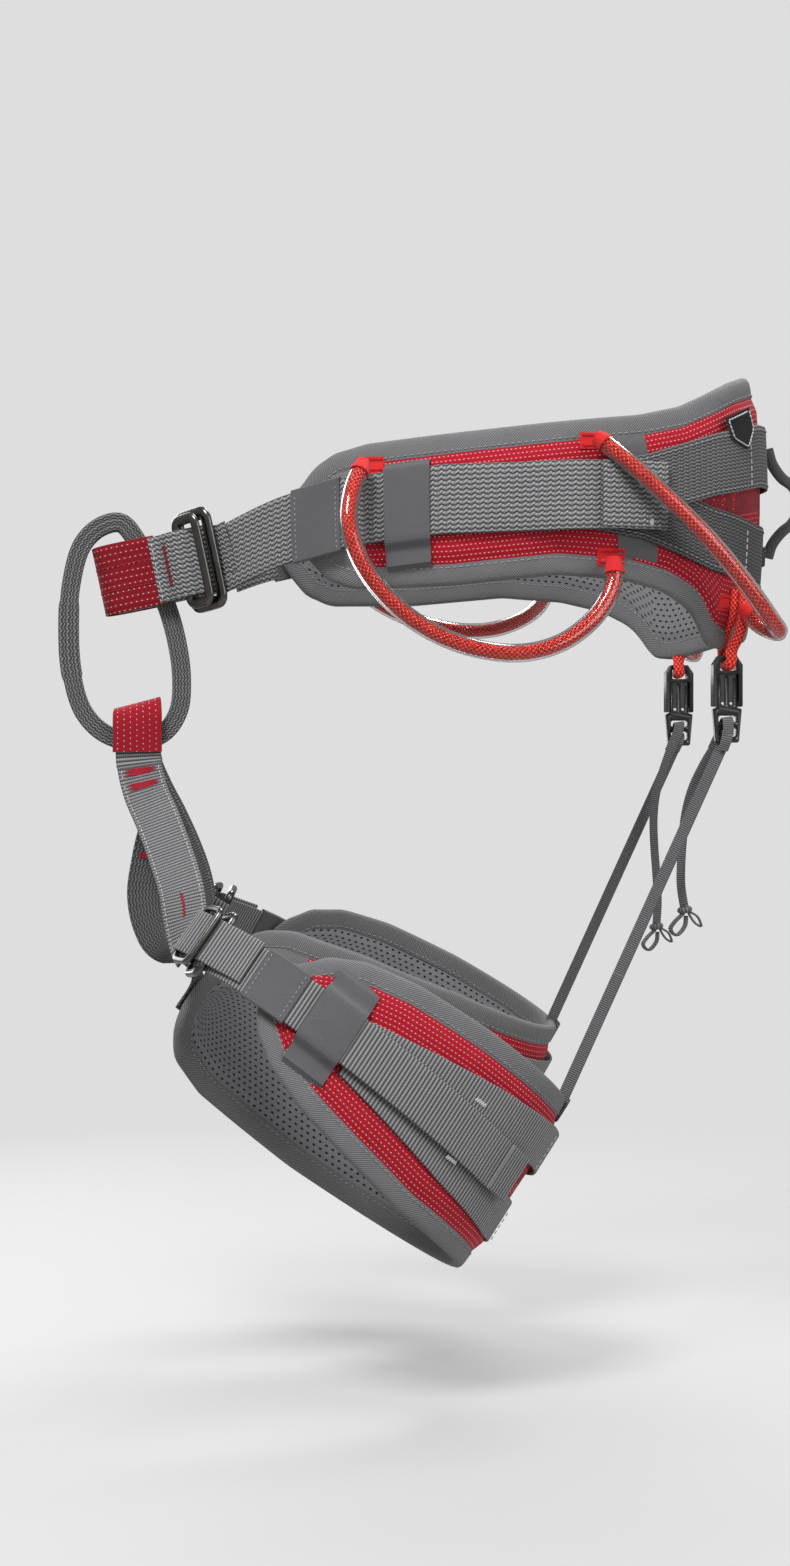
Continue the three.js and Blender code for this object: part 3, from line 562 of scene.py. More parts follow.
def dotted_cloth(name, red=PANEL_RED, row=3.2, pitch=2.9):
    """Red cloth with rows of short pale stitches."""
    shader = Shader(name, 0.8, sheen=0.08)
    weave = shader.wave(shader.math("ADD", shader.along, shader.across), 1.2)
    dot = shader.ramp(shader.from_dots(row, pitch, 1.0, 0.62), -6.0, 2.5)
    cord = shader.wave(shader.across, row, math.pi)
    ground = worn(shader, scaled(red, 0.5), scaled(red, 1.2), weave)
    colour = shader.mix(shader.math("MULTIPLY", dot, 0.85), ground, (0.72, 0.50, 0.50))
    height = shader.math("ADD", shader.math("MULTIPLY", weave, 0.3),
                         shader.math("MULTIPLY_ADD", dot, 0.6, shader.math("MULTIPLY", cord, 0.5)))
    return shader.finish(colour, height, 0.5)


def air_mesh(name):
    """Perforated spacer mesh: staggered holes in a grey knit, the holes painted dark as shade."""
    shader = Shader(name, 0.9, sheen=0.05)
    rim = shader.ramp(shader.from_dots(4.2, 5.2, 1.5, 1.0), 1.7, -1.3)
    # The near-black in the holes is painted shade in the recesses, not a colour of the knit.
    colour = worn(shader, scaled(LINER_GREY, 0.12), scaled(LINER_GREY, 1.25), rim)
    return shader.finish(colour, rim, 0.8)


def braid(name, dark, light, pitch, around, crossing_highlight=None):
    """Strands that wind both ways round a cord; given a highlight colour, pale dots are painted as highlight
    where the strands cross.
    """
    shader = Shader(name, 0.6, sheen=0.05)
    slope = pitch / around
    one = shader.wave(shader.math("MULTIPLY_ADD", shader.across, slope, shader.along), pitch)
    other = shader.wave(shader.math("MULTIPLY_ADD", shader.across, -slope, shader.along), pitch)
    height = shader.math("MAXIMUM", one, other)
    colour = worn(shader, dark, light, shader.math("POWER", height, 1.6))
    # Pale dots on the raised strand crossings: a painted highlight.
    if crossing_highlight:
        painted_highlight = shader.math("MULTIPLY", shader.math("POWER", shader.math("MULTIPLY", one, other), 6.0), 0.8)
        colour = shader.mix(painted_highlight, colour, crossing_highlight)
    return shader.finish(colour, height, 0.6)


def gunmetal(name):
    shader = Shader(name, 0.24, metallic=1.0)
    cloudy = shader.noise(70.0)
    scratches = shader.noise(900.0)
    rough = shader.math("MULTIPLY_ADD", cloudy, 0.14, 0.2)
    tone = shader.mix(cloudy, (0.085, 0.083, 0.078), (0.19, 0.186, 0.176))
    return shader.finish(tone, scratches, 0.006, rough)


def moulded_plastic(name):
    shader = Shader(name, 0.4)
    grain = shader.noise(1600.0, 2.0)
    rough = shader.math("MULTIPLY_ADD", shader.noise(60.0), 0.2, 0.3)
    return shader.finish(shader.mix(grain, (0.008, 0.008, 0.009), (0.02, 0.02, 0.022)), grain, 0.04, rough)


def clear_hose(name):
    shader = Shader(name, 0.07)
    shader.surface.inputs["Transmission Weight"].default_value = 1.0
    shader.surface.inputs["IOR"].default_value = 1.38
    tint = shader.noise(30.0)
    return shader.finish(shader.mix(tint, (0.97, 0.93, 0.92), (1.0, 0.98, 0.97)))


def thread(name, colour):
    shader = Shader(name, 0.7, sheen=0.08)
    twist = shader.noise(1500.0)
    return shader.finish(shader.mix(twist, scaled(colour, 0.7), colour), twist, 0.05)


THREAD_LOOKS = {
    "grey": thread("thread_grey", THREAD_GREY),
    "white": thread("thread_white", THREAD_WHITE),
    "red": thread("thread_red", THREAD_RED),
}
WAIST_WEAVE = chevron_webbing("webbing_chevron")
BELAY_WEAVE = chevron_webbing("webbing_belay", scaled(WEBBING_LIGHT, 0.62), pitch=2.3, span=2.3)
LEG_WEAVE = ribbed_webbing("webbing_ribbed", scaled(WEBBING_LIGHT, 0.8), 2.6)
TIE_WEAVE = ribbed_webbing("webbing_tie", scaled(WEBBING_LIGHT, 0.68), 2.3, (0.03, 0.03, 0.033))
BAND_WEAVE = chevron_webbing("webbing_band", scaled(WEBBING_LIGHT, 0.6), pitch=2.5, span=2.4)
# The band webbing again, painted darker as shade, for the lower back band and the medial straps.
SHADED_BAND_WEAVE = chevron_webbing("webbing_band_dark", scaled(WEBBING_LIGHT, 0.42), pitch=2.5, span=2.4)
BINDING_CLOTH = twill("binding_twill", BINDING_GREY)
ELASTIC_WEAVE = twill("elastic_twill", ELASTIC_GREY, pitch=1.0, contrast=0.28, slant=0.55)
RED_CLOTH = dotted_cloth("panel_red_dotted")
SLEEVE_CLOTH = dotted_cloth("sleeve_red_dotted", SLEEVE_RED, row=4.3, pitch=3.6)
COVER_CLOTH = dotted_cloth("cover_red_dotted", scaled(PANEL_RED, 0.75), row=4.3, pitch=3.6)
RED_TAPE = twill("tape_red", (0.62, 0.02, 0.022), pitch=1.4, contrast=0.3)
LINER = air_mesh("liner_air_mesh")
# The red braid's pale dots are a painted highlight on the strand crossings.
RED_BRAID = braid("cord_red_braid", scaled(CORD_RED, 0.38), CORD_RED, 3.4, 3.0, (1.0, 0.62, 0.55))
GREY_BRAID = braid("cord_grey_braid", (0.025, 0.025, 0.028), (0.13, 0.13, 0.137), 2.0, 1.6)
RISER_WEAVE = ribbed_webbing("riser_elastic", (0.21, 0.21, 0.22), 1.4, (0.04, 0.04, 0.044))
METAL = gunmetal("buckle_gunmetal")
PLASTIC = moulded_plastic("clip_plastic")
HOSE = clear_hose("hose_clear")


def looks(material, body, slot, *replaces):
    return {"material": material, "body": body, "slot": slot, "replaces": replaces}


def webbing(weave, body, *replaces):
    return looks(weave, body, "grey_webbing", *replaces)


# ---- camera, light and floor ----
def set_stage():
    scene = bpy.context.scene
    azimuth = math.radians(CAMERA_AZIMUTH)
    back = np.array([math.sin(azimuth), -math.cos(azimuth), 0])
    camera = add_object("camera", bpy.data.cameras.new("camera"))
    camera.location = metres(np.array(CAMERA_TARGET) + back * CAMERA_DISTANCE)
    camera.rotation_euler = (math.pi / 2, 0, azimuth)
    camera.data.lens = CAMERA_LENS
    camera.data.sensor_width = 36
    camera.data.sensor_fit = "AUTO"
    scene.camera = camera
    scene.view_settings.view_transform = "Standard"

    world = bpy.data.worlds.new("studio")
    world.use_nodes = True
    sky = world.node_tree.nodes["Background"]
    sky.inputs["Color"].default_value = (*BACKGROUND, 1)
    rays = world.node_tree.nodes.new("ShaderNodeLightPath")
    strength = world.node_tree.nodes.new("ShaderNodeMapRange")
    strength.inputs["To Min"].default_value = AMBIENT_LIGHT
    strength.inputs["To Max"].default_value = 1.0
    world.node_tree.links.new(rays.outputs["Is Camera Ray"], strength.inputs["Value"])
    world.node_tree.links.new(strength.outputs[0], sky.inputs["Strength"])
    scene.world = world
    # Each lamp's place and size are in millimetres, and its power is in watts.
    for name, place, size, power in (
        ("key", (1300, -900, 1600), 700, 52),
        ("fill", (1500, 1100, 300), 1200, 14),
        ("rim", (-900, 600, 1500), 800, 34),
        ("back", (-1400, -700, 200), 1200, 16),
    ):
        lamp = add_object(name, bpy.data.lights.new(name, "AREA"))
        lamp.data.size = size * MM
        lamp.data.energy = power
        lamp.location = metres(place)
        towards = np.array(CAMERA_TARGET) - np.array(place)
        lamp.rotation_euler = (
            math.acos(-towards[2] / np.linalg.norm(towards)), 0,
            math.atan2(towards[1], towards[0]) - math.pi / 2,
        )
    set_floor()


def set_floor():
    """A pale disc that fades out at its rim, so that no horizon shows."""
    ring = np.linspace(0, 2 * math.pi, 64, endpoint=False)
    disc = np.stack([np.cos(ring), np.sin(ring), ring * 0], -1)
    corners = disc * FLOOR_RADIUS + [0, -60, FLOOR_HEIGHT]
    mesh = bpy.data.meshes.new("floor")
    mesh.from_pydata((corners * MM).tolist(), [], [tuple(range(64))])
    floor = add_object("floor", mesh)
    shader = Shader("floor_pale", 0.6)
    away = shader.node("ShaderNodeVectorMath", operation="LENGTH")
    shader.tree.links.new(shader.node("ShaderNodeTexCoord").outputs["Object"], away.inputs[0])
    fade = shader.ramp(away.outputs["Value"], -1 / (0.85 * FLOOR_RADIUS * MM), 1.15)
    shader.tree.links.new(fade, shader.surface.inputs["Alpha"])
    tone = shader.mix(shader.noise(3.0), scaled(BACKGROUND, 0.72), scaled(BACKGROUND, 0.74))
    mesh.materials.append(shader.finish(tone))


set_stage()

# ---- surfaces ----
WAIST_HALF_PLAN = [
    (0, 172), (47, 163), (84, 132), (105, 89), (111, 45), (107, -10), (98, -63), (83, -110),
    (66, -148), (40, -175), (10, -198),
]
WAIST_REACH = 388
waist_top = mirrored(graph([
    (0, 82), (50, 79), (78, 72), (94, 66), (130, 51), (160, 44), (220, 38), (284, 31),
    (340, 25), (362, 19), (376, 9), (388, -8),
]))
waist_bottom = mirrored(graph([
    (0, -93), (50, -100), (82, -105), (97, -103), (108, -90), (118, -80), (140, -69), (170, -62),
    (215, -59), (284, -66), (350, -68), (368, -61), (380, -48), (388, -34),
]))
webbing_height = mirrored(graph([(190, -9), (290, -12), (350, -19), (390, -29), (430, -41), (452, -48)]))
LEG_TIPS = (-286, 243)
leg_top = graph([
    (-286, -8), (-276, 12), (-262, 28), (-240, 40), (-190, 50), (-120, 57), (0, 60), (110, 59),
    (165, 56), (200, 50), (222, 40), (236, 26), (243, 12),
])
leg_bottom = graph([
    (-286, -26), (-278, -42), (-262, -55), (-230, -63), (-150, -68), (0, -68), (100, -65),
    (150, -56), (185, -48), (215, -36), (234, -22), (243, -8),
])
leg_web_middle = graph([(60, -6), (160, 1), (240, 7), (310, 10)])


def dished(x, y, height):
    """The belt's edges lie nearer to the wearer than its middle."""
    pull = 1 - WAIST_DISH * (height / WAIST_HALF_HEIGHT) ** 2 / np.hypot(x, y)
    return np.stack([x * pull, y * pull, height], -1)


def swung(points, side, swing):
    """Mirrors left-side points for the right leg and swings them about the leg pivot."""
    points = np.asarray(points, float)
    y, z = points[..., 1] - LEG_PIVOT[1], points[..., 2] - LEG_PIVOT[2]
    return np.stack([
        side * points[..., 0],
        LEG_PIVOT[1] + y * np.cos(swing) - z * np.sin(swing),
        LEG_PIVOT[2] + y * np.sin(swing) + z * np.cos(swing),
    ], -1)


def swung_direction(direction, side, swing):
    return swung(np.array(direction) + LEG_PIVOT, side, swing) - LEG_PIVOT


def leg_swing(side):
    return RIGHT_LEG_SWING if side < 0 else 0.0


def leg_surface(side):
    """The middle of a leg pad, wrapped round the thigh."""
    level = math.cos(LEG_ROLL)
    axis = np.array([-math.sin(LEG_ROLL), level * math.cos(THIGH_AXIS), level * math.sin(THIGH_AXIS)])
    backward = np.array([0, math.sin(THIGH_AXIS), -math.cos(THIGH_AXIS)])
    lateral = unit(np.cross(backward, axis))

    def place(sideways, back, height):
        spots = (LEG_CENTRE + sideways[..., None] * lateral + back[..., None] * backward
                 + height[..., None] * axis)
        return swung(spots, side, leg_swing(side))

    turns = np.radians(np.arange(0, 181, 15))
    half = np.stack([LEG_HALF_WIDTH * np.sin(turns), LEG_HALF_LENGTH * np.cos(turns)], -1)
    return Wrap(half, place)


waist = Wrap(WAIST_HALF_PLAN, dished)


# ---- padded pieces ----
def crown(distance):
    """How far a pad's face lies from its middle, at a distance in from its edge."""
    thin, full = PAD_EDGE_THICKNESS / 2, PAD_THICKNESS / 2
    lip = thin * np.sqrt(np.clip(distance / 1.6, 0, 1))
    return lip + (full - thin) * smooth((distance - EDGE_BINDING + 1) / 8)


EDGE_DISTANCES = np.array([0, 0.5, 1.6, 6, 11, 13, 15, 17, 19.5])


def heights_across(high, low, inset=0.0):
    """Heights from a pad's top edge to its bottom edge, close together near the edges."""
    span = (high - low) - 2 * inset
    edge = EDGE_DISTANCES * min(1.0, 0.45 * span / EDGE_DISTANCES[-1])
    middle = np.linspace(edge[-1], span - edge[-1], 9)[1:-1]
    return high - inset - np.concatenate([edge, middle, span - edge[::-1]])


def pad(name, surface, reach, top, bottom, looks_, ripple):
    """The lined foam body. Its face swells between the bindings, with soft dents from wear."""
    rings = []
    for place in stations(*reach, 5):
        high, low = float(top(place)), float(bottom(place))
        heights = heights_across(high, low)
        rim = np.minimum(high - heights, heights - low)
        out = crown(rim) * min(1.0, (high - low) / 60)
        dent = ripple * np.sin(place / 19.0 + heights / 31.0) * np.clip(rim / 20, 0, 1)
        outer = surface(place, heights, out)
        inner = surface(place, heights[1:-1][::-1], (-out + dent)[1:-1][::-1])
        rings.append(np.concatenate([outer, inner]))
    return loft(name, np.array(rings), looks_)


def panel(name, surface, reach, top, bottom, looks_, tip):
    """The cloth on a pad's outer face; beyond tip it is the binding's cloth."""
    rings, rows, places = [], [], stations(*reach, 4)
    for place in places:
        high, low = float(top(place)), float(bottom(place))
        inset = min(10.0, 0.3 * (high - low))
        heights = heights_across(high, low, inset)
        rim = np.minimum(high - heights, heights - low)
        puff = 0.35 * np.sin(place / 11.0) * np.sin(heights / 9.0) * np.clip((rim - 14) / 8, 0, 1)
        out = np.minimum(crown(rim) + 0.35 + 1.1 * np.clip((rim - 12) / 7, 0, 1) + puff, 6.55)
        rings.append(surface(place, heights, out))
        # The rows of dots follow the nearer edge.
        rows.append(np.where(high - heights < heights - low, high - heights, low - heights))
    piece = loft(name, np.array(rings), looks_, closed=False, along=places, across=np.array(rows))
    columns = len(rings[0]) - 1
    for face in piece.data.polygons:
        place = places[face.index // columns]
        face.material_index = int(not tip[0] < place < tip[1])
    return piece


def outline_of(reach, top, bottom):
    """A pad's edge as (along, height), round its whole outline."""
    places = stations(*reach, 7)
    upper = np.stack([places, top(places)], -1)
    lower = np.stack([places, bottom(places)], -1)[::-1]
    return Curve(np.concatenate([upper, lower]), looped=True)


BINDING_SECTION = [
    (13.0, 2.5), (12.7, 3.7), (9, 3.95), (5, 3.8), (1.6, 3.3), (-0.3, 2.2), (-1.0, 0),
    (-0.3, -2.2), (1.6, -3.3), (5, -3.8), (9, -3.95), (12.7, -3.7), (13.0, -2.5),
]


def binding(name, surface, outline, looks_, stitch_key):
    """The tape folded over a pad's edge, with a row of stitches on each face."""
    count = round(outline.length / 4)
    share = np.arange(count) / count
    spot, forward = outline.at(share), outline.tangent(share)
    inward = np.stack([forward[:, 1], -forward[:, 0]], -1)
    centre = outline.places.mean(0)
    if ((centre - spot) * inward).sum() < 0:
        inward = -inward

    def at(distance, out):
        moved = spot + inward * distance
        return surface(moved[:, 0], moved[:, 1], out)

    pucker = 0.12 * np.sin(share * outline.length * 2 * math.pi / 4.4)
    rings = np.stack([at(d, o + pucker * np.sign(o)) for d, o in BINDING_SECTION], 1)
    piece = loft(name, rings, looks_, looped=True, closed=False)
    for out in (4.1, -4.1):
        threads.row(stitch_key, at(10.6, out))
    return piece


# ---- waist belt ----
def build_waist():
    body = "waist_belt"
    reach = (-WAIST_REACH, WAIST_REACH)
    waist_pad = pad("waist_pad_foam", waist, reach, waist_top, waist_bottom,
                    looks(LINER, body, "grey_padding", "waist_pad"), 0.5)
    panel("waist_panel_cloth", waist, (-376, 376), waist_top, waist_bottom,
          looks([RED_CLOTH, BINDING_CLOTH], body, "red_dotted_fabric", "waist_panel"), (-342, 342))
    binding("waist_binding", waist, outline_of(reach, waist_top, waist_bottom),
            looks(BINDING_CLOTH, body, "grey_padding"), (body, "grey"))

    upper = mirrored(graph([(0, 28), (60, 25), (110, 14), (160, -2), (205, -9)]))
    lower = mirrored(graph([(0, -43), (60, -42), (110, -34), (160, -17), (205, -10)]))
    wide = mirrored(graph([(0, 44), (150, 40), (205, 38)]))
    # The lower band wears the band webbing painted darker as shade.
    for name, height, inner, weave in (
        ("upper", upper, UPPER_BAND_INNER, BAND_WEAVE), ("lower", lower, LOWER_BAND_INNER, SHADED_BAND_WEAVE),
    ):
        tape(f"back_band_{name}_weave", waist, -205, 205, webbing(weave, body, f"back_band_{name}"),
             wide, inner, height)
        for edge in (-1, 1):
            places = stations(-200, 200, 4)
            line = waist(places, height(places) + edge * (wide(places) / 2 - 3), inner + 2.25)
            threads.row((body, "grey"), line)
    for side in SIDES.values():
        for height, inner in ((upper, UPPER_BAND_INNER), (lower, LOWER_BAND_INNER)):
            place = side * 74.0
            heights = float(height(place)) + np.linspace(-18, 18, 20)
            threads.row((body, "white"), waist(place, heights, inner + 2.3), stitch=3.2)

    for side_name, side in SIDES.items():
        build_waist_strap(side_name, side)
    build_label()


def build_waist_strap(side_name, side):
    body = "waist_belt"
    end = {"left": 448, "right": 424}[side_name]
    inner = mirrored(graph([(180, WEBBING_RAISED), (193, WEBBING_RAISED - 0.4), (201, WEBBING_RAISED + 1.8),
                            (216, WEBBING_RAISED + 0.6), (240, WEBBING_INNER)]))
    tape(f"waist_strap_{side_name}", waist, side * 180, side * end,
         webbing(WAIST_WEAVE, body, f"waist_webbing_{side_name}"),
         WAIST_WEBBING, inner, webbing_height, wave=0.25)
    fold = mirrored(graph([
        (148, WEBBING_RAISED - 0.2), (166, WEBBING_RAISED + 0.4), (181, WEBBING_RAISED + 3.2),
    ]))
    tape(f"waist_strap_fold_{side_name}", waist, side * 148, side * 189, webbing(WAIST_WEAVE, body),
         WAIST_WEBBING - 1, fold, middle=-9, thickness=3.6, wave=0.5)
    for across in (-17, 12):
        threads.tack((body, "white"), waist, side * 158, across - 9, WEBBING_RAISED + 3.4, 2.2, 7, rows=3)
    if side_name == "left":
        build_strap_end()

    build_keeper(f"waist_keeper_{side_name}", waist, (side * 297, side * 326), webbing_height,
                 WAIST_WEBBING, (42, 28), LOWER_BAND_INNER - 0.4, WEBBING_OUTER + 0.5, body)
    build_flank_elastic(side_name, side)
    build_sliding_keeper(f"waist_sliding_keeper_{side_name}", waist, (side * 355, side * 386),
                         webbing_height, WAIST_WEBBING)


def build_strap_end():
    """The left strap's last stretch, which goes under the buckle's rear bar."""
    height = float(webbing_height(440))
    route = [(x, y, height - drop) for x, y, drop in (
        (42.0, -186.2, -2), (36.1, -190.9, 0), (29.5, -195.8, 0.8), (22.5, -201, 1), (16.5, -205.4, 1),
    )]
    end = Ribbon(route, (0.1, -0.1, 1))
    ribbon_strap("waist_strap_end_left", end, webbing(WAIST_WEAVE, "waist_belt"), WAIST_WEBBING, step=2)


def build_flank_elastic(side_name, side):
    """A flat elastic between the bindings, under the webbing's sewn end."""
    slant = 0.12
    rings = []
    for place in stations(155, 181, 3):
        high, low = float(waist_top(place)), float(waist_bottom(place))
        heights = np.linspace(high - 11, low + 11, 20)
        rim = np.minimum(high - heights, heights - low)
        out = np.minimum(crown(rim) + 1.9, 6.9) - 1.6 * np.clip((13 - rim) / 2, 0, 1)
        rings.append(waist(side * (place + slant * heights), heights, out))
    loft(f"waist_flank_elastic_{side_name}", np.array(rings),
         looks(ELASTIC_WEAVE, "waist_belt", "grey_elastic"), closed=False)


def build_keeper(name, surface, reach, middle, strap_width, tucks, floor, top, body):
    """A sewn elastic band: it slopes up over the webbing, and tucks under the binding on each side."""
    down, up = tucks
    half, slope = strap_width / 2 + 0.5, 6.5
    across = np.concatenate([np.linspace(-down - 4, -half, 14), np.linspace(-half, half, 12)[1:-1],
                             np.linspace(half, up + 4, 14)])
    climb = smooth((half + slope - np.abs(across)) / slope)
    tuck = np.clip(np.maximum(-down + 3 - across, across - up + 3) / 3, 0, 1)
    height = floor + (top - floor) * climb - (floor - KEEPER_TUCK) * tuck
    rings = []
    for place in stations(*reach, 3):
        centre = float(middle(place))
        sway = 0.35 * math.sin((place - reach[0]) / (reach[1] - reach[0]) * math.pi)
        outer = height + 1 + sway
        rings.append(np.concatenate([surface(place, centre + across, outer),
                                     surface(place, centre + across[::-1], outer[::-1] - 0.9)]))
    loft(name + "_band", np.array(rings), looks(ELASTIC_WEAVE, body, "grey_elastic", name))


def build_sliding_keeper(name, surface, reach, middle, strap_width):
    """A loop of elastic round the webbing, which slides along it."""
    half = strap_width / 2 + 1.2
    inner, outer = WEBBING_INNER - 1.4, WEBBING_OUTER + 1.5
    bend = np.linspace(0, math.pi, 7)
    centre, reach_out = (inner + outer) / 2, (outer - inner) / 2
    right = [(half - 0.5 + 0.9 * math.sin(a), centre + reach_out * math.cos(a)) for a in bend]
    flat = [(x, outer) for x in np.linspace(-half + 1, half - 1, 9)]
    section = np.array(flat + right + [(-x, 2 * centre - z) for x, z in flat]
                       + [(-x, 2 * centre - z) for x, z in right])
    inside = np.stack([section[:, 0] * (half - 0.9) / half, centre + (section[:, 1] - centre) * 0.7], -1)
    rings = []
    for place in stations(*reach, 3):
        height = float(middle(place))
        rings.append([surface(place, height + s[:, 0], s[:, 1]) for s in (section, inside)])
    shells = np.array(rings)
    loft(name + "_loop", np.concatenate([shells[:, 0], shells[::-1, 1]]),
         looks(ELASTIC_WEAVE, name, "grey_elastic", name), looped=True)
    for place in (reach[0] + np.sign(reach[0]) * 2.5, reach[1] - np.sign(reach[0]) * 2.5):
        across = np.linspace(-half + 2, half - 2, 20)
        threads.row((name, "grey"), surface(place, float(middle(place)) + across, outer + 0.25), stitch=2)


def build_label():
    """A plain pentagonal tab sewn on at the rear of the left flank, with no marking."""
    shader = twill("label_black", (0.012, 0.012, 0.013), pitch=0.8)
    along, height, length, half, turn = 84, 39, 25, 14.5, math.radians(22)
    rows = []
    for reach in np.linspace(-length / 2, length / 2, 12):
        side = np.linspace(-1, 1, 11) * half * min(1.0, 0.08 + (length / 2 - reach) / 11)
        rows.append(waist(along - reach * math.sin(turn) + side * math.cos(turn),
                          height - reach * math.cos(turn) - side * math.sin(turn), 12.8))
    rows = np.array(rows)
    loft("rear_label", rows, looks(shader, "waist_belt", "black_plastic"), closed=False)
    edge = np.concatenate([rows[:, 0], rows[-1, 1:], rows[::-1, -1], rows[0, ::-1]])
    border = edge * 0.84 + edge.mean(0) * 0.16
    raised = border + unit(border * [1, 1, 0]) * 0.9
    threads.row(("waist_belt", "white"), raised, stitch=2.6, gap=0.4, radius=0.5)


build_waist()


# ---- tie-in loop and waist buckle ----
TIE_IN_UP = np.array([0, -math.sin(TIE_IN_TILT), math.cos(TIE_IN_TILT)])


def front_line(x, y):
    """A point of the tilted line along which the strap runs to the belay loop."""
    return np.array([x, y, TIE_IN_HEIGHT - (TIE_IN_REAR - y) * math.tan(TIE_IN_TILT)])


def build_tie_in():
    body = "waist_belt"
    half = POCKET_HALF
    route = [front_line(*spot) for spot in (
        (-14, -200), (-8, -207), (-8, -214), (-half, -221), (-half, -256), (3 - half, -266), (0, -270),
        (half - 3, -266), (half, -256), (half, -229), (half + 3, -222), (half + 6.5, -216),
        (half + 15, -206),
    )]
    fold = Ribbon(route, TIE_IN_UP)
    ribbon_strap("tie_in_fold", fold, webbing(WAIST_WEAVE, body), WAIST_WEBBING, thickness=3, step=2)
    cover = half + 2.7
    sleeve_route = [front_line(*spot) for spot in (
        (cover, -234), (cover, -257), (cover - 4, -269), (0, -274), (4 - cover, -269), (-cover, -257),
        (-cover, -234),
    )]
    sleeve = Ribbon(sleeve_route, TIE_IN_UP)
    ribbon_strap("tie_in_cover", sleeve, looks(SLEEVE_CLOTH, body, "red_webbing", "tie_in_sleeve"),
                 WAIST_WEBBING + 1.6, thickness=1.6, wave=0.15, step=2)
    turn = Ribbon([front_line(*spot) for spot in (
        (14.4, -238), (17, -231), (23.5, -225.8), (27.4, -220), (28.6, -212), (28.2, -205), (26.5, -198),
    )], TIE_IN_UP)
    ribbon_strap("waist_buckle_turn", turn, webbing(WAIST_WEAVE, body), WAIST_WEBBING - 0.5, step=2)
    far = Ribbon([front_line(*spot) for spot in ((-half - 1.5, -219), (-half - 1.5, -238))], TIE_IN_UP)
    for strap, face in ((turn, -1.3), (turn, 1.3), (far, -0.5), (far, 0.5)):
        for along in (6, 12.5):
            for height in np.linspace(-12, 14, 14):
                threads.row((body, "red"), strap(along + np.array([-2, 2]), height, face), 3.6, 1, 0.62)
        threads.row((body, "white"), strap(2.2, np.linspace(-20, 20, 12), face))
    for edge in (-8, 8):
        for face in (-1.1, 1.1):
            threads.row((body, "red"), sleeve(stations(2, sleeve.length - 2, 4), edge, face), 2.2, 0.8)
    for spots, length, radius, body_name, node in (
        (((12, -216), (35.6, -199)), 60, 3.0, body, "waist_buckle_frame"),
        (((23, -219), (39, -207)), 56, 2.4, "waist_buckle_slider", "waist_buckle_slider"),
    ):
        first, second = (front_line(*spot) for spot in spots)
        buckle(node + "_metal", first, second, TIE_IN_UP, length, radius, body_name, node, 1.5)


def buckle(name, first, second, across, length, radius, body, node, broad=1.0):
    """A rounded rectangle of polished bar between two long bars."""
    along = second - first
    width = np.linalg.norm(along)
    along = along / width
    across = unit(across - along * np.dot(across, along))
    centre, corner, route = (first + second) / 2, 4.5, []
    for index, (u, v) in enumerate(((1, 1), (-1, 1), (-1, -1), (1, -1))):
        for step in range(5):
            angle = math.pi / 2 * (index + step / 4)
            a = u * (length / 2 - corner) + corner * math.cos(angle)
            b = v * (width / 2 - corner) + corner * math.sin(angle)
            route.append(centre + across * a + along * b)
    normal = np.cross(across, along)
    loop = Curve(route, looped=True)
    share = np.arange(round(loop.length / 1.6)) / round(loop.length / 1.6)
    spots = loop.at(share)
    outward = unit(np.cross(loop.tangent(share), normal))
    angle = np.linspace(0, 2 * math.pi, 16, endpoint=False)
    rings = (spots[:, None] + radius * broad * np.cos(angle)[None, :, None] * outward[:, None]
             + radius * np.sin(angle)[None, :, None] * normal)
    loft(name, rings, looks(METAL, body, "gunmetal", node), looped=True)


build_tie_in()


# ---- belay loop ----
def build_belay_loop():
    route = [(0, y, z) for y, z in (
        (-273, -21.5), (-285.5, -33.5), (-293, -59), (-295, -91), (-293, -121), (-285, -147), (-270, -162),
        (-249, -167), (-231, -161), (-221, -146), (-219, -124), (-222, -100), (-229, -75), (-240, -51),
        (-250, -30), (-260, -19),
    )]
    loop = Ribbon(route, (1, 0, 0), looped=True)
    # The lap of the webbing makes the loop thicker between its two ends.
    thick = graph([(0, 12.4), (58, 12.4), (61, 14), (108, 14), (111, 12.4), (loop.length, 12.4)])
    rings = []
    for place in stations(0, loop.length, 3)[:-1]:
        section = layered_section(14, float(thick(place)))
        rings.append(loop(place, section[:, 0], section[:, 1]))
    weave = webbing(BELAY_WEAVE, "belay_loop", "belay_loop")
    loft("belay_loop_webbing", np.array(rings), weave, looped=True)
    pivot = LEG_PIVOT
    half, top, foot = 13.6, -141.3, -174
    route = [(x, pivot[1] - 2, z) for x, z in (
        (half, foot), (half, top - 8), (half - 4, top - 2), (0, top), (4 - half, top - 2), (-half, top - 8),
        (-half, foot),
    )]
    lengthwise = (0, math.cos(math.radians(15)), math.sin(math.radians(15)))
    sleeve = Ribbon(route, lengthwise)
    ribbon_strap("leg_strap_cover", sleeve,
                 looks(COVER_CLOTH, "belay_loop", "red_webbing", "leg_strap_sleeve"),
                 LEG_WEBBING + 0.6, thickness=1.6, wave=0.15, step=2)


def layered_section(width, thickness):
    """A section with a groove between the webbing's layers on each side."""
    half, layers = width / 2, 3
    face = [(x, thickness / 2) for x in np.linspace(-half + 1, half - 1, 7)]
    side = []
    for layer in range(layers):
        high = thickness / 2 - layer * thickness / layers
        low = high - thickness / layers
        side += [(half - 0.35, high - 0.4), (half, high - 1), (half, low + 1), (half - 0.35, low + 0.4)]
        if layer < layers - 1:
            side.append((half - 0.7, low))
    return np.array(face + side + [(-x, -z) for x, z in face] + [(-x, -z) for x, z in side])


build_belay_loop()


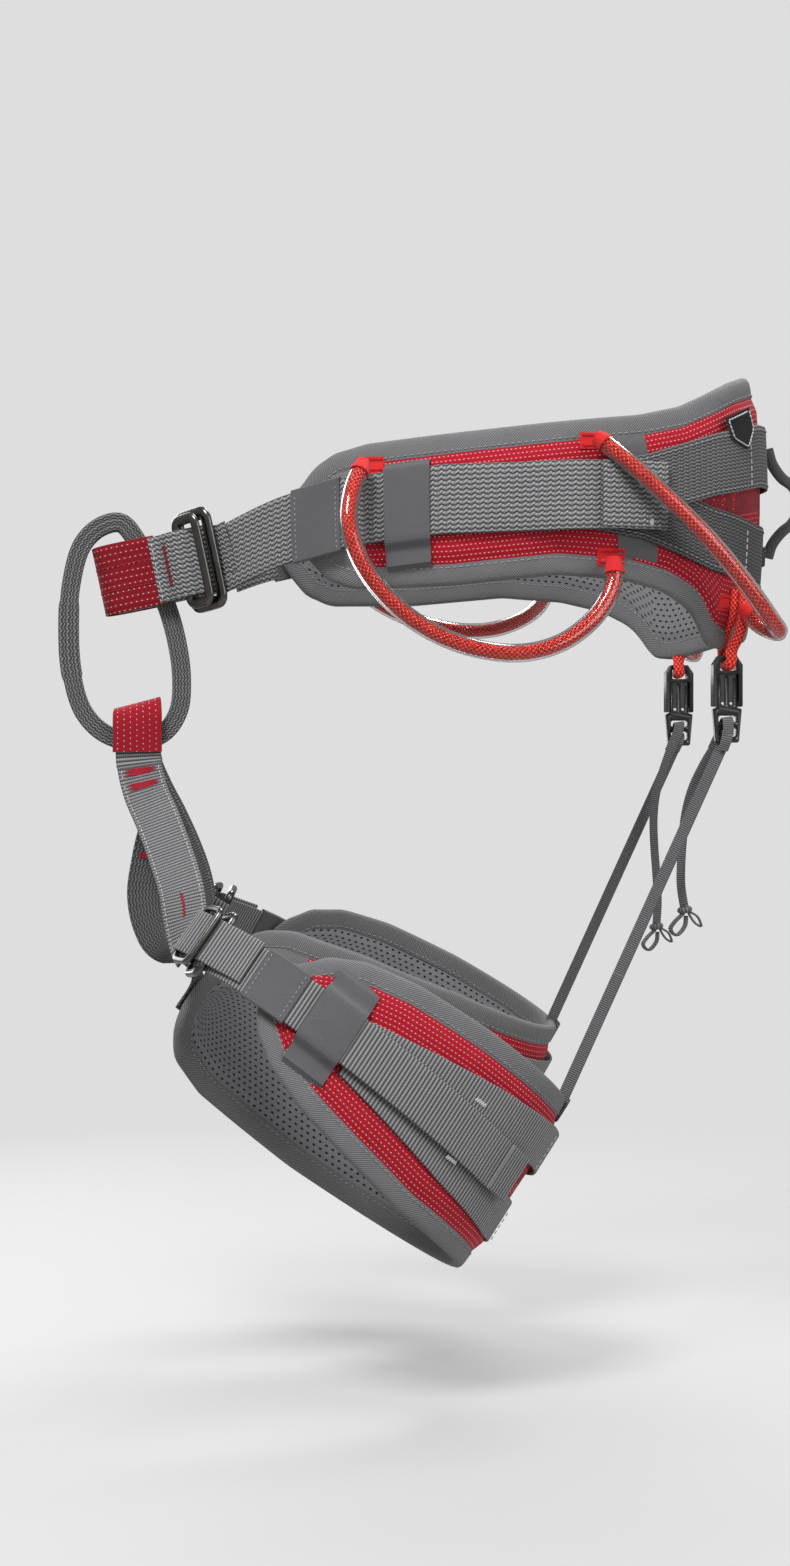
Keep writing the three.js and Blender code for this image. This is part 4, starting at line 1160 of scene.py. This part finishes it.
# ---- gear loops ----
FRONT_GEAR_LOOP = [
    (104, -106, 12), (118, -115, -8), (127, -118, -30), (131, -110, -56), (134, -92, -80),
    (136, -66, -99), (138, -36, -110), (139, -6, -112), (137, 20, -104), (133, 42, -86),
    (128, 53, -66), (124, 54, -50),
]
REAR_GEAR_LOOP = [
    (126, 42, 28), (134, 60, 12), (138, 84, -10), (138, 112, -37), (132, 138, -65),
    (122, 158, -88), (108, 167, -96), (97, 158, -91), (92, 147, -78),
]


def turned(points, origin, axis, degrees):
    """Points turned about a line by the right-hand rule."""
    angle, axis = math.radians(degrees), unit(axis)
    arm = points - origin
    return (origin + arm * math.cos(angle) + np.cross(axis, arm) * math.sin(angle)
            + np.outer(arm @ axis, axis) * (1 - math.cos(angle)))


def build_gear_loop(end_name, points, side_name):
    side = SIDES[side_name]
    name = f"gear_loop_{end_name}_{side_name}"
    points = np.array(points, float)
    points = turned(points, points[0], points[-1] - points[0], -GEAR_LOOP_LIFT[side_name][end_name])
    curve = Curve(points * [side, 1, 1])
    tube(name + "_braid", curve, GEAR_CORD_RADIUS, looks(RED_BRAID, name, "red_cord", name + "_cord"),
         sides=18)
    tube(name + "_hose", curve, GEAR_TUBE_RADIUS, looks(HOSE, name, "clear_tube", name + "_tube"),
         start=0.03, end=0.97, sides=20, bore=GEAR_TUBE_BORE)
    taper = graph([(0, 4.6), (0.03, 6.5), (0.97, 6.5), (1, 4.6)])
    for end, point, start, stop in (("start", points[0], 0, 0.035), ("end", points[-1], 0.965, 1)):
        tube(f"{name}_cuff_{end}", curve, taper, looks(RED_TAPE, name, "red_cord"), start, stop, step=1.5)
        build_gear_tab(f"{name}_tab_{end}", *waist.locate(point * [side, 1, 1]))


def build_gear_tab(name, along, height):
    """The red tape that sews a gear loop's end to the pad's edge."""
    rings = []
    for place in stations(along - 9, along + 9, 2):
        high, low = float(waist_top(place)), float(waist_bottom(place))
        heights = np.linspace(height - 5, height + 6, 7)
        rim = np.minimum(high - heights, heights - low)
        out = np.maximum(crown(np.clip(rim, 0, 50)) + 1.7, 4.4)
        under = waist(place, heights[::-1], out[::-1] - 1)
        rings.append(np.concatenate([waist(place, heights, out), under]))
    loft(name, np.array(rings), looks(RED_TAPE, "waist_belt", "red_cord"))
    for offset in (-3, 4):
        places = stations(along - 8, along + 8, 1)
        zigzag = height + offset + np.where(np.arange(len(places)) % 2, 0.9, -0.9)
        rim = np.minimum(waist_top(places) - zigzag, zigzag - waist_bottom(places))
        out = np.maximum(crown(np.clip(rim, 0, 50)) + 2, 4.7)
        threads.row(("waist_belt", "red"), waist(places, zigzag, out), stitch=1.6, gap=0.3)


for side_name in SIDES:
    build_gear_loop("front", FRONT_GEAR_LOOP, side_name)
    build_gear_loop("rear", REAR_GEAR_LOOP, side_name)


# ---- haul loop ----
def build_haul_loop():
    curve = Curve([(0, y, z) for y, z in (
        (189, 38), (192, 28), (199, 18), (207, 12), (212, 0), (207, -13), (199, -20), (192, -29), (189, -38),
    )])
    tube("haul_loop_cord", curve, 2.6, looks(GREY_BRAID, "haul_loop", "dark_cord", "haul_loop"),
         sides=12, step=2, squash=1.5)
    for name, height in (("upper", 38), ("lower", -38)):
        tape(f"haul_tab_{name}", waist, -10, 10,
             webbing(BAND_WEAVE, "waist_belt"), width=14, inner=12.2, middle=height, thickness=1.6)
        threads.tack(("waist_belt", "grey"), waist, 0, height, 14.1, 12, 8, rows=7)


build_haul_loop()


# ---- risers ----
def bevelled(node, name, width, body):
    """A copy of a moulded CAD piece with softened edges."""
    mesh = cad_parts[node].data.copy()
    worked = bmesh.new()
    worked.from_mesh(mesh)
    bmesh.ops.remove_doubles(worked, verts=worked.verts, dist=1e-6)
    bmesh.ops.dissolve_limit(worked, angle_limit=math.radians(3), verts=worked.verts, edges=worked.edges)
    sharp = [edge for edge in worked.edges
             if len(edge.link_faces) == 2 and edge.calc_face_angle() > math.radians(35)]
    bmesh.ops.bevel(worked, geom=sharp, offset=width * MM, segments=2, affect="EDGES", clamp_overlap=True)
    worked.to_mesh(mesh)
    worked.free()
    mesh.materials.clear()
    mesh.materials.append(PLASTIC)
    mesh.set_sharp_from_angle(angle=math.radians(40))
    enter(add_object(name, mesh), body, [node])


TAIL_ROUTES = {
    "left": [
        (64, 134, -172), (63.5, 127, -184), (63, 120, -199), (63, 115.5, -216), (63, 113.5, -234),
        (63, 112.5, -250), (63, 112.5, -264), (63, 115, -280),
    ],
    "right": [
        (-64, 134, -172), (-63.5, 129, -186), (-63, 124, -202), (-63, 122, -220), (-63, 122.5, -240),
        (-63, 124, -260), (-63, 125, -280), (-63, 124, -298),
    ],
}


TAIL_BOWS = (
    ("bow", 0.15, [(0, 0, 3), (0, -1, -2), (0.6, -7, -8), (1.0, -10, -13), (0.6, -6, -17), (0, 0, -11),
                   (-0.4, 1, -4)]),
    ("bow_twin", -0.15, [(0, 1, 3), (0.4, 3, -3), (0.8, 7, -9), (0.4, 11, -11), (0, 9, -5), (0, 3, -1)]),
)


def build_riser(side_name, side):
    clip = f"riser_clip_{side_name}"
    surface = leg_surface(side)
    for part_name, body in (("female", "waist_belt"), ("male", clip)):
        bevelled(f"riser_clip_{part_name}_{side_name}", f"clip_{part_name}_{side_name}", 0.7, body)
    x, y, top = CLIP["x"], CLIP["y"], CLIP["top"]
    core = Ribbon([(side * x, y, top - 11), (side * x, y, top - 31)], (0, 1, 0))
    ribbon_strap(f"riser_clip_core_{side_name}", core, looks(PLASTIC, "waist_belt", "black_plastic"),
                 15, thickness=2.6)
    beyond = top - 6.5
    cord = Curve([(side * a, b, c) for a, b, c in (
        (85, y + 9, -68), (85, y + 8, -84), (81, y + 5, -98), (x + 7.2, y + 2, top + 4),
        (x + 7, y + 1, beyond + 1),
        (x + 3.5, y, beyond), (x - 3.5, y, beyond), (x - 7, y - 1, beyond + 1), (x - 6, y - 2, top + 6),
    )])
    tube(f"riser_cord_braid_{side_name}", cord, RISER_CORD_RADIUS,
         looks(RED_BRAID, "waist_belt", "red_cord", f"riser_cord_{side_name}"),
         sides=12, step=1.5, squash=1.35)
    twin = Curve([(side * a, b, c) for a, b, c in (
        (80, y + 3, -66), (79, y + 2, -84), (72, y - 1, -96), (x - 3, y - 2, top + 5),
        (x - 6, y - 2, top + 5),
    )])
    tube(f"riser_cord_twin_{side_name}", twin, RISER_CORD_RADIUS,
         looks(RED_BRAID, "waist_belt", "red_cord"), sides=12, step=1.5)

    foot = surface(8.0, 66.0, 0.0)
    start = np.array([side * x, y - 3, top - CLIP["length"] - 26.0])
    across = (0, math.sin(math.radians(64)), math.cos(math.radians(64)))
    spans = (("upper", clip, "waist_belt", 2, 0), ("middle", "waist_belt", "belay_loop", 0, 0),
             ("lower", "belay_loop", f"leg_{side_name}", 0, 8))
    for index, (name, above, below, before, after) in enumerate(spans):
        ends = [start + (foot - start) * share / 3 for share in (index, index + 1)]
        reach = unit(ends[1] - ends[0])
        ribbon = Ribbon([ends[0] - reach * before, ends[1] + reach * after], across)
        node = f"riser_strap_{name}_{side_name}"
        piece = ribbon_strap(node + "_elastic", ribbon, looks(RISER_WEAVE, None, "elastic_strap", node),
                             RISER_WIDTH, RISER_THICKNESS)
        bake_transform(piece)
    ladder_loops(side_name, side, clip)
    build_tail(side_name, clip)
    along, height = 8.0, 60.0
    tape(f"riser_anchor_{side_name}", surface, along - 7, along + 7,
         webbing(BAND_WEAVE, f"leg_{side_name}"), width=16, inner=4.2, middle=height - 6, thickness=1.6)


def ladder_loops(side_name, side, body):
    """The strap's two turns over the male clip's ladder bars."""
    for name, route in (
        ("lower", ((73.5, 138.5, -173), (75, 141, -165), (72.5, 142, -160.5), (67.5, 142, -160.5),
                   (65, 141, -165), (68, 138.5, -172))),
        ("upper", ((74.6, 142, -163), (74.6, 142, -156), (72.5, 142, -152), (67.5, 142, -152),
                   (65.3, 140.5, -158), (64.4, 137, -166), (64, 134, -172.5))),
    ):
        ribbon = Ribbon([(side * a, b, c) for a, b, c in route], (0, 1, 0.15))
        ribbon_strap(f"riser_turn_{name}_{side_name}", ribbon, looks(RISER_WEAVE, body, "elastic_strap"),
                     RISER_WIDTH - 0.5, thickness=1.3, step=1.5)


def build_tail(side_name, body):
    """The strap's free end, which hangs from the clip and ends in a knotted bow."""
    route = TAIL_ROUTES[side_name]
    ribbon = Ribbon(route, (0, 1, 0.1))
    cord = ribbon_strap(f"riser_tail_strap_{side_name}", ribbon,
                        looks(RISER_WEAVE, body, "dark_cord", f"riser_tail_{side_name}"),
                        TAIL_WIDTH, RISER_THICKNESS)
    foot = np.array(route[-1], float)
    knotted = looks(RISER_WEAVE, body, "dark_cord")
    for name, lean, bow in TAIL_BOWS:
        loop = Ribbon(foot + np.array(bow), (1, lean, 0))
        ribbon_strap(f"riser_tail_{name}_{side_name}", loop, knotted, TAIL_WIDTH,
                                   thickness=1.5, step=1.5)
    wrap = Curve(foot + np.array([(3.6, 0, 0), (0, 3, 0.5), (-3.6, 0, 0), (0, -3, -0.5)]), looped=True)
    tube(f"riser_tail_knot_{side_name}", wrap, 2.2, knotted, sides=10, step=1)
    path = [metres(spot) for spot in ribbon.curve.at(np.linspace(0, 1, 40))]


for side_name, side in SIDES.items():
    build_riser(side_name, side)


# ---- leg loops ----
def build_leg(side_name, side):
    body = f"leg_{side_name}"
    surface = leg_surface(side)
    key = (body, "grey")
    leg_pad = pad(f"leg_pad_foam_{side_name}", surface, LEG_TIPS, leg_top, leg_bottom,
                  looks(LINER, body, "grey_padding", f"leg_pad_{side_name}"), 0.5)
    panel(f"leg_panel_cloth_{side_name}", surface, (-276, 234), leg_top, leg_bottom,
          looks([RED_CLOTH, BINDING_CLOTH], body, "red_dotted_fabric", f"leg_panel_{side_name}"),
          (-222, 224))
    binding(f"leg_binding_{side_name}", surface, outline_of(LEG_TIPS, leg_top, leg_bottom),
            looks(BINDING_CLOTH, body, "grey_padding"), key)

    upper = graph([(-200, 4), (-60, 22), (30, 24), (90, 18), (180, 4)])
    lower = graph([(-200, -8), (-60, -28), (30, -30), (90, -22), (180, -3)])
    for name, height, inner in (("upper", upper, UPPER_BAND_INNER), ("lower", lower, LOWER_BAND_INNER)):
        node = f"leg_band_{name}_{side_name}"
        tape(node + "_weave", surface, -205, 178, webbing(LEG_WEAVE, body, node),
             LEG_WEBBING - 2, inner, height)
    for place, height in ((96, 30), (92, -36)):
        threads.tack((body, "white"), surface, place, height * 0.6, 12.1, 8, 3, rows=5)
    for place, low, high in ((24, -44, -22), (24, 10, 38)):
        threads.row((body, "white"), surface(place, np.linspace(low, high, 12), 12.2))

    inner = graph([(40, WEBBING_RAISED), (185, WEBBING_RAISED), (205, WEBBING_INNER)])
    tape(f"leg_strap_{side_name}", surface, 47, 297, webbing(LEG_WEAVE, body, f"leg_webbing_{side_name}"),
         LEG_WEBBING, inner, leg_web_middle, wave=0.35)
    tape(f"leg_strap_hem_{side_name}", surface, 45, 62, webbing(LEG_WEAVE, body),
         LEG_WEBBING, WEBBING_RAISED + WEBBING_THICKNESS, leg_web_middle, thickness=2.2)

    build_keeper(f"leg_keeper_{side_name}", surface, (182, 211), leg_web_middle, LEG_WEBBING,
                 (35.5, 34.5), LOWER_BAND_INNER - 0.4, WEBBING_RAISED + WEBBING_THICKNESS + 0.2, body)
    build_sliding_keeper(f"leg_sliding_keeper_{side_name}", surface, (222, 252), leg_web_middle, LEG_WEBBING)

    across = unit(surface(290.0, 30.0, 0.0) - surface(290.0, -10.0, 0.0))
    slider = f"leg_buckle_slider_{side_name}"
    for first, second, length, radius, owner, node in (
        ((284, 11, 14.6), (310, 11, 6), 43, 2.8, body, f"leg_buckle_frame_{side_name}"),
        ((288, 11, 22), (306, 11, 20), 39, 2.2, slider, slider),
    ):
        ends = [surface(*(float(v) for v in spot)) for spot in (first, second)]
        buckle(node + "_metal", *ends, across, length, radius, owner, node)
    turn = Ribbon([surface(float(along), 11.0, float(out)) for along, out in (
        (318, 3), (315, 10), (311, 18), (305, 23.8), (299, 22.8), (293, 18.8), (286, 17.4), (278, 14.6),
        (268, 12.9), (257, 12.7),
    )], across)
    ribbon_strap(f"leg_buckle_turn_{side_name}", turn, webbing(LEG_WEAVE, body), LEG_WEBBING - 2, step=2)
    build_tie_straps(side_name, side, surface, body)


def build_tie_straps(side_name, side, surface, body):
    swing = leg_swing(side)
    share = np.clip((np.arange(12) - 3) / 2, 0, 1) * swing
    route = [
        (1.8, -249, -146), (6, -249, -147.5), (10, -249, -153), (10.6, -248.5, -160),
        (10.8, -248, -181), (17, -244, -200), (32, -236, -220), (50, -228, -243),
        (68, -222, -265), (80, -219.5, -285), (92, -218.5, -297), (104, -217.5, -301),
    ]
    lean = [
        (0.97, 0.26), (0.97, 0.26), (0.97, 0.26), (0.97, 0.26), (0.96, 0.28), (0.95, 0.3),
        (0.94, 0.33), (0.92, 0.38), (0.86, 0.5), (0.75, 0.66), (0.6, 0.8), (0.53, 0.85),
    ]
    spots = [swung(spot, side, turn) for spot, turn in zip(route, share)]
    across = [swung_direction((0, y, z), side, turn) for (y, z), turn in zip(lean, share)]
    strap = Ribbon(spots, across)
    ribbon_strap(f"tie_strap_webbing_{side_name}", strap,
                 webbing(TIE_WEAVE, body, f"tie_strap_{side_name}"), LEG_WEBBING - 2, step=3)
    tape(f"tie_strap_ribs_{side_name}", strap, 26, 42, webbing(LEG_WEAVE, body),
         LEG_WEBBING - 1.4, inner=-1.4, thickness=2.8, step=3)
    for face in (-1.15, 1.15):
        for edge in (-12.5, 12.5):
            places = stations(44, strap.length - 14, 4)
            threads.row((body, "white"), strap(places, edge, face), stitch=1.8, gap=1.8, radius=0.35)
        for place in (46, 56):
            threads.tack((body, "red"), strap, place, 0, face, 4.5, 21, rows=4)
        threads.tack((body, "red"), strap, strap.length - 42, 0, face, 18, 2.4, rows=7)

    spots = [swung(spot, side, swing) for spot in (
        (27, -234, -224), (23, -240, -246), (25, -244, -268), (34, -241, -290), (47, -231, -306),
    )] + [surface(-277.0, -2.0, 12.0), surface(-274.0, -28.0, 9.6)]
    across = [swung_direction(lean, side, swing) for lean in (
        (0.2, 0.93, 0.3), (0.35, 0.93, 0.15), (0.5, 0.85, 0), (0.7, 0.7, 0), (0.85, 0.5, 0), (1, -0.3, 0),
        (1, -0.35, 0),
    )]
    strap = Ribbon(spots, across)
    # The medial strap wears the band webbing painted darker as shade.
    ribbon_strap(f"medial_strap_webbing_{side_name}", strap,
                 webbing(SHADED_BAND_WEAVE, body, f"medial_strap_{side_name}"), LEG_WEBBING - 4, step=3)
    for place in (6, 22):
        threads.tack((body, "red"), strap, place, 0, 1.15, 3, 18, rows=3)


for side_name, side in SIDES.items():
    build_leg(side_name, side)
threads.finish()
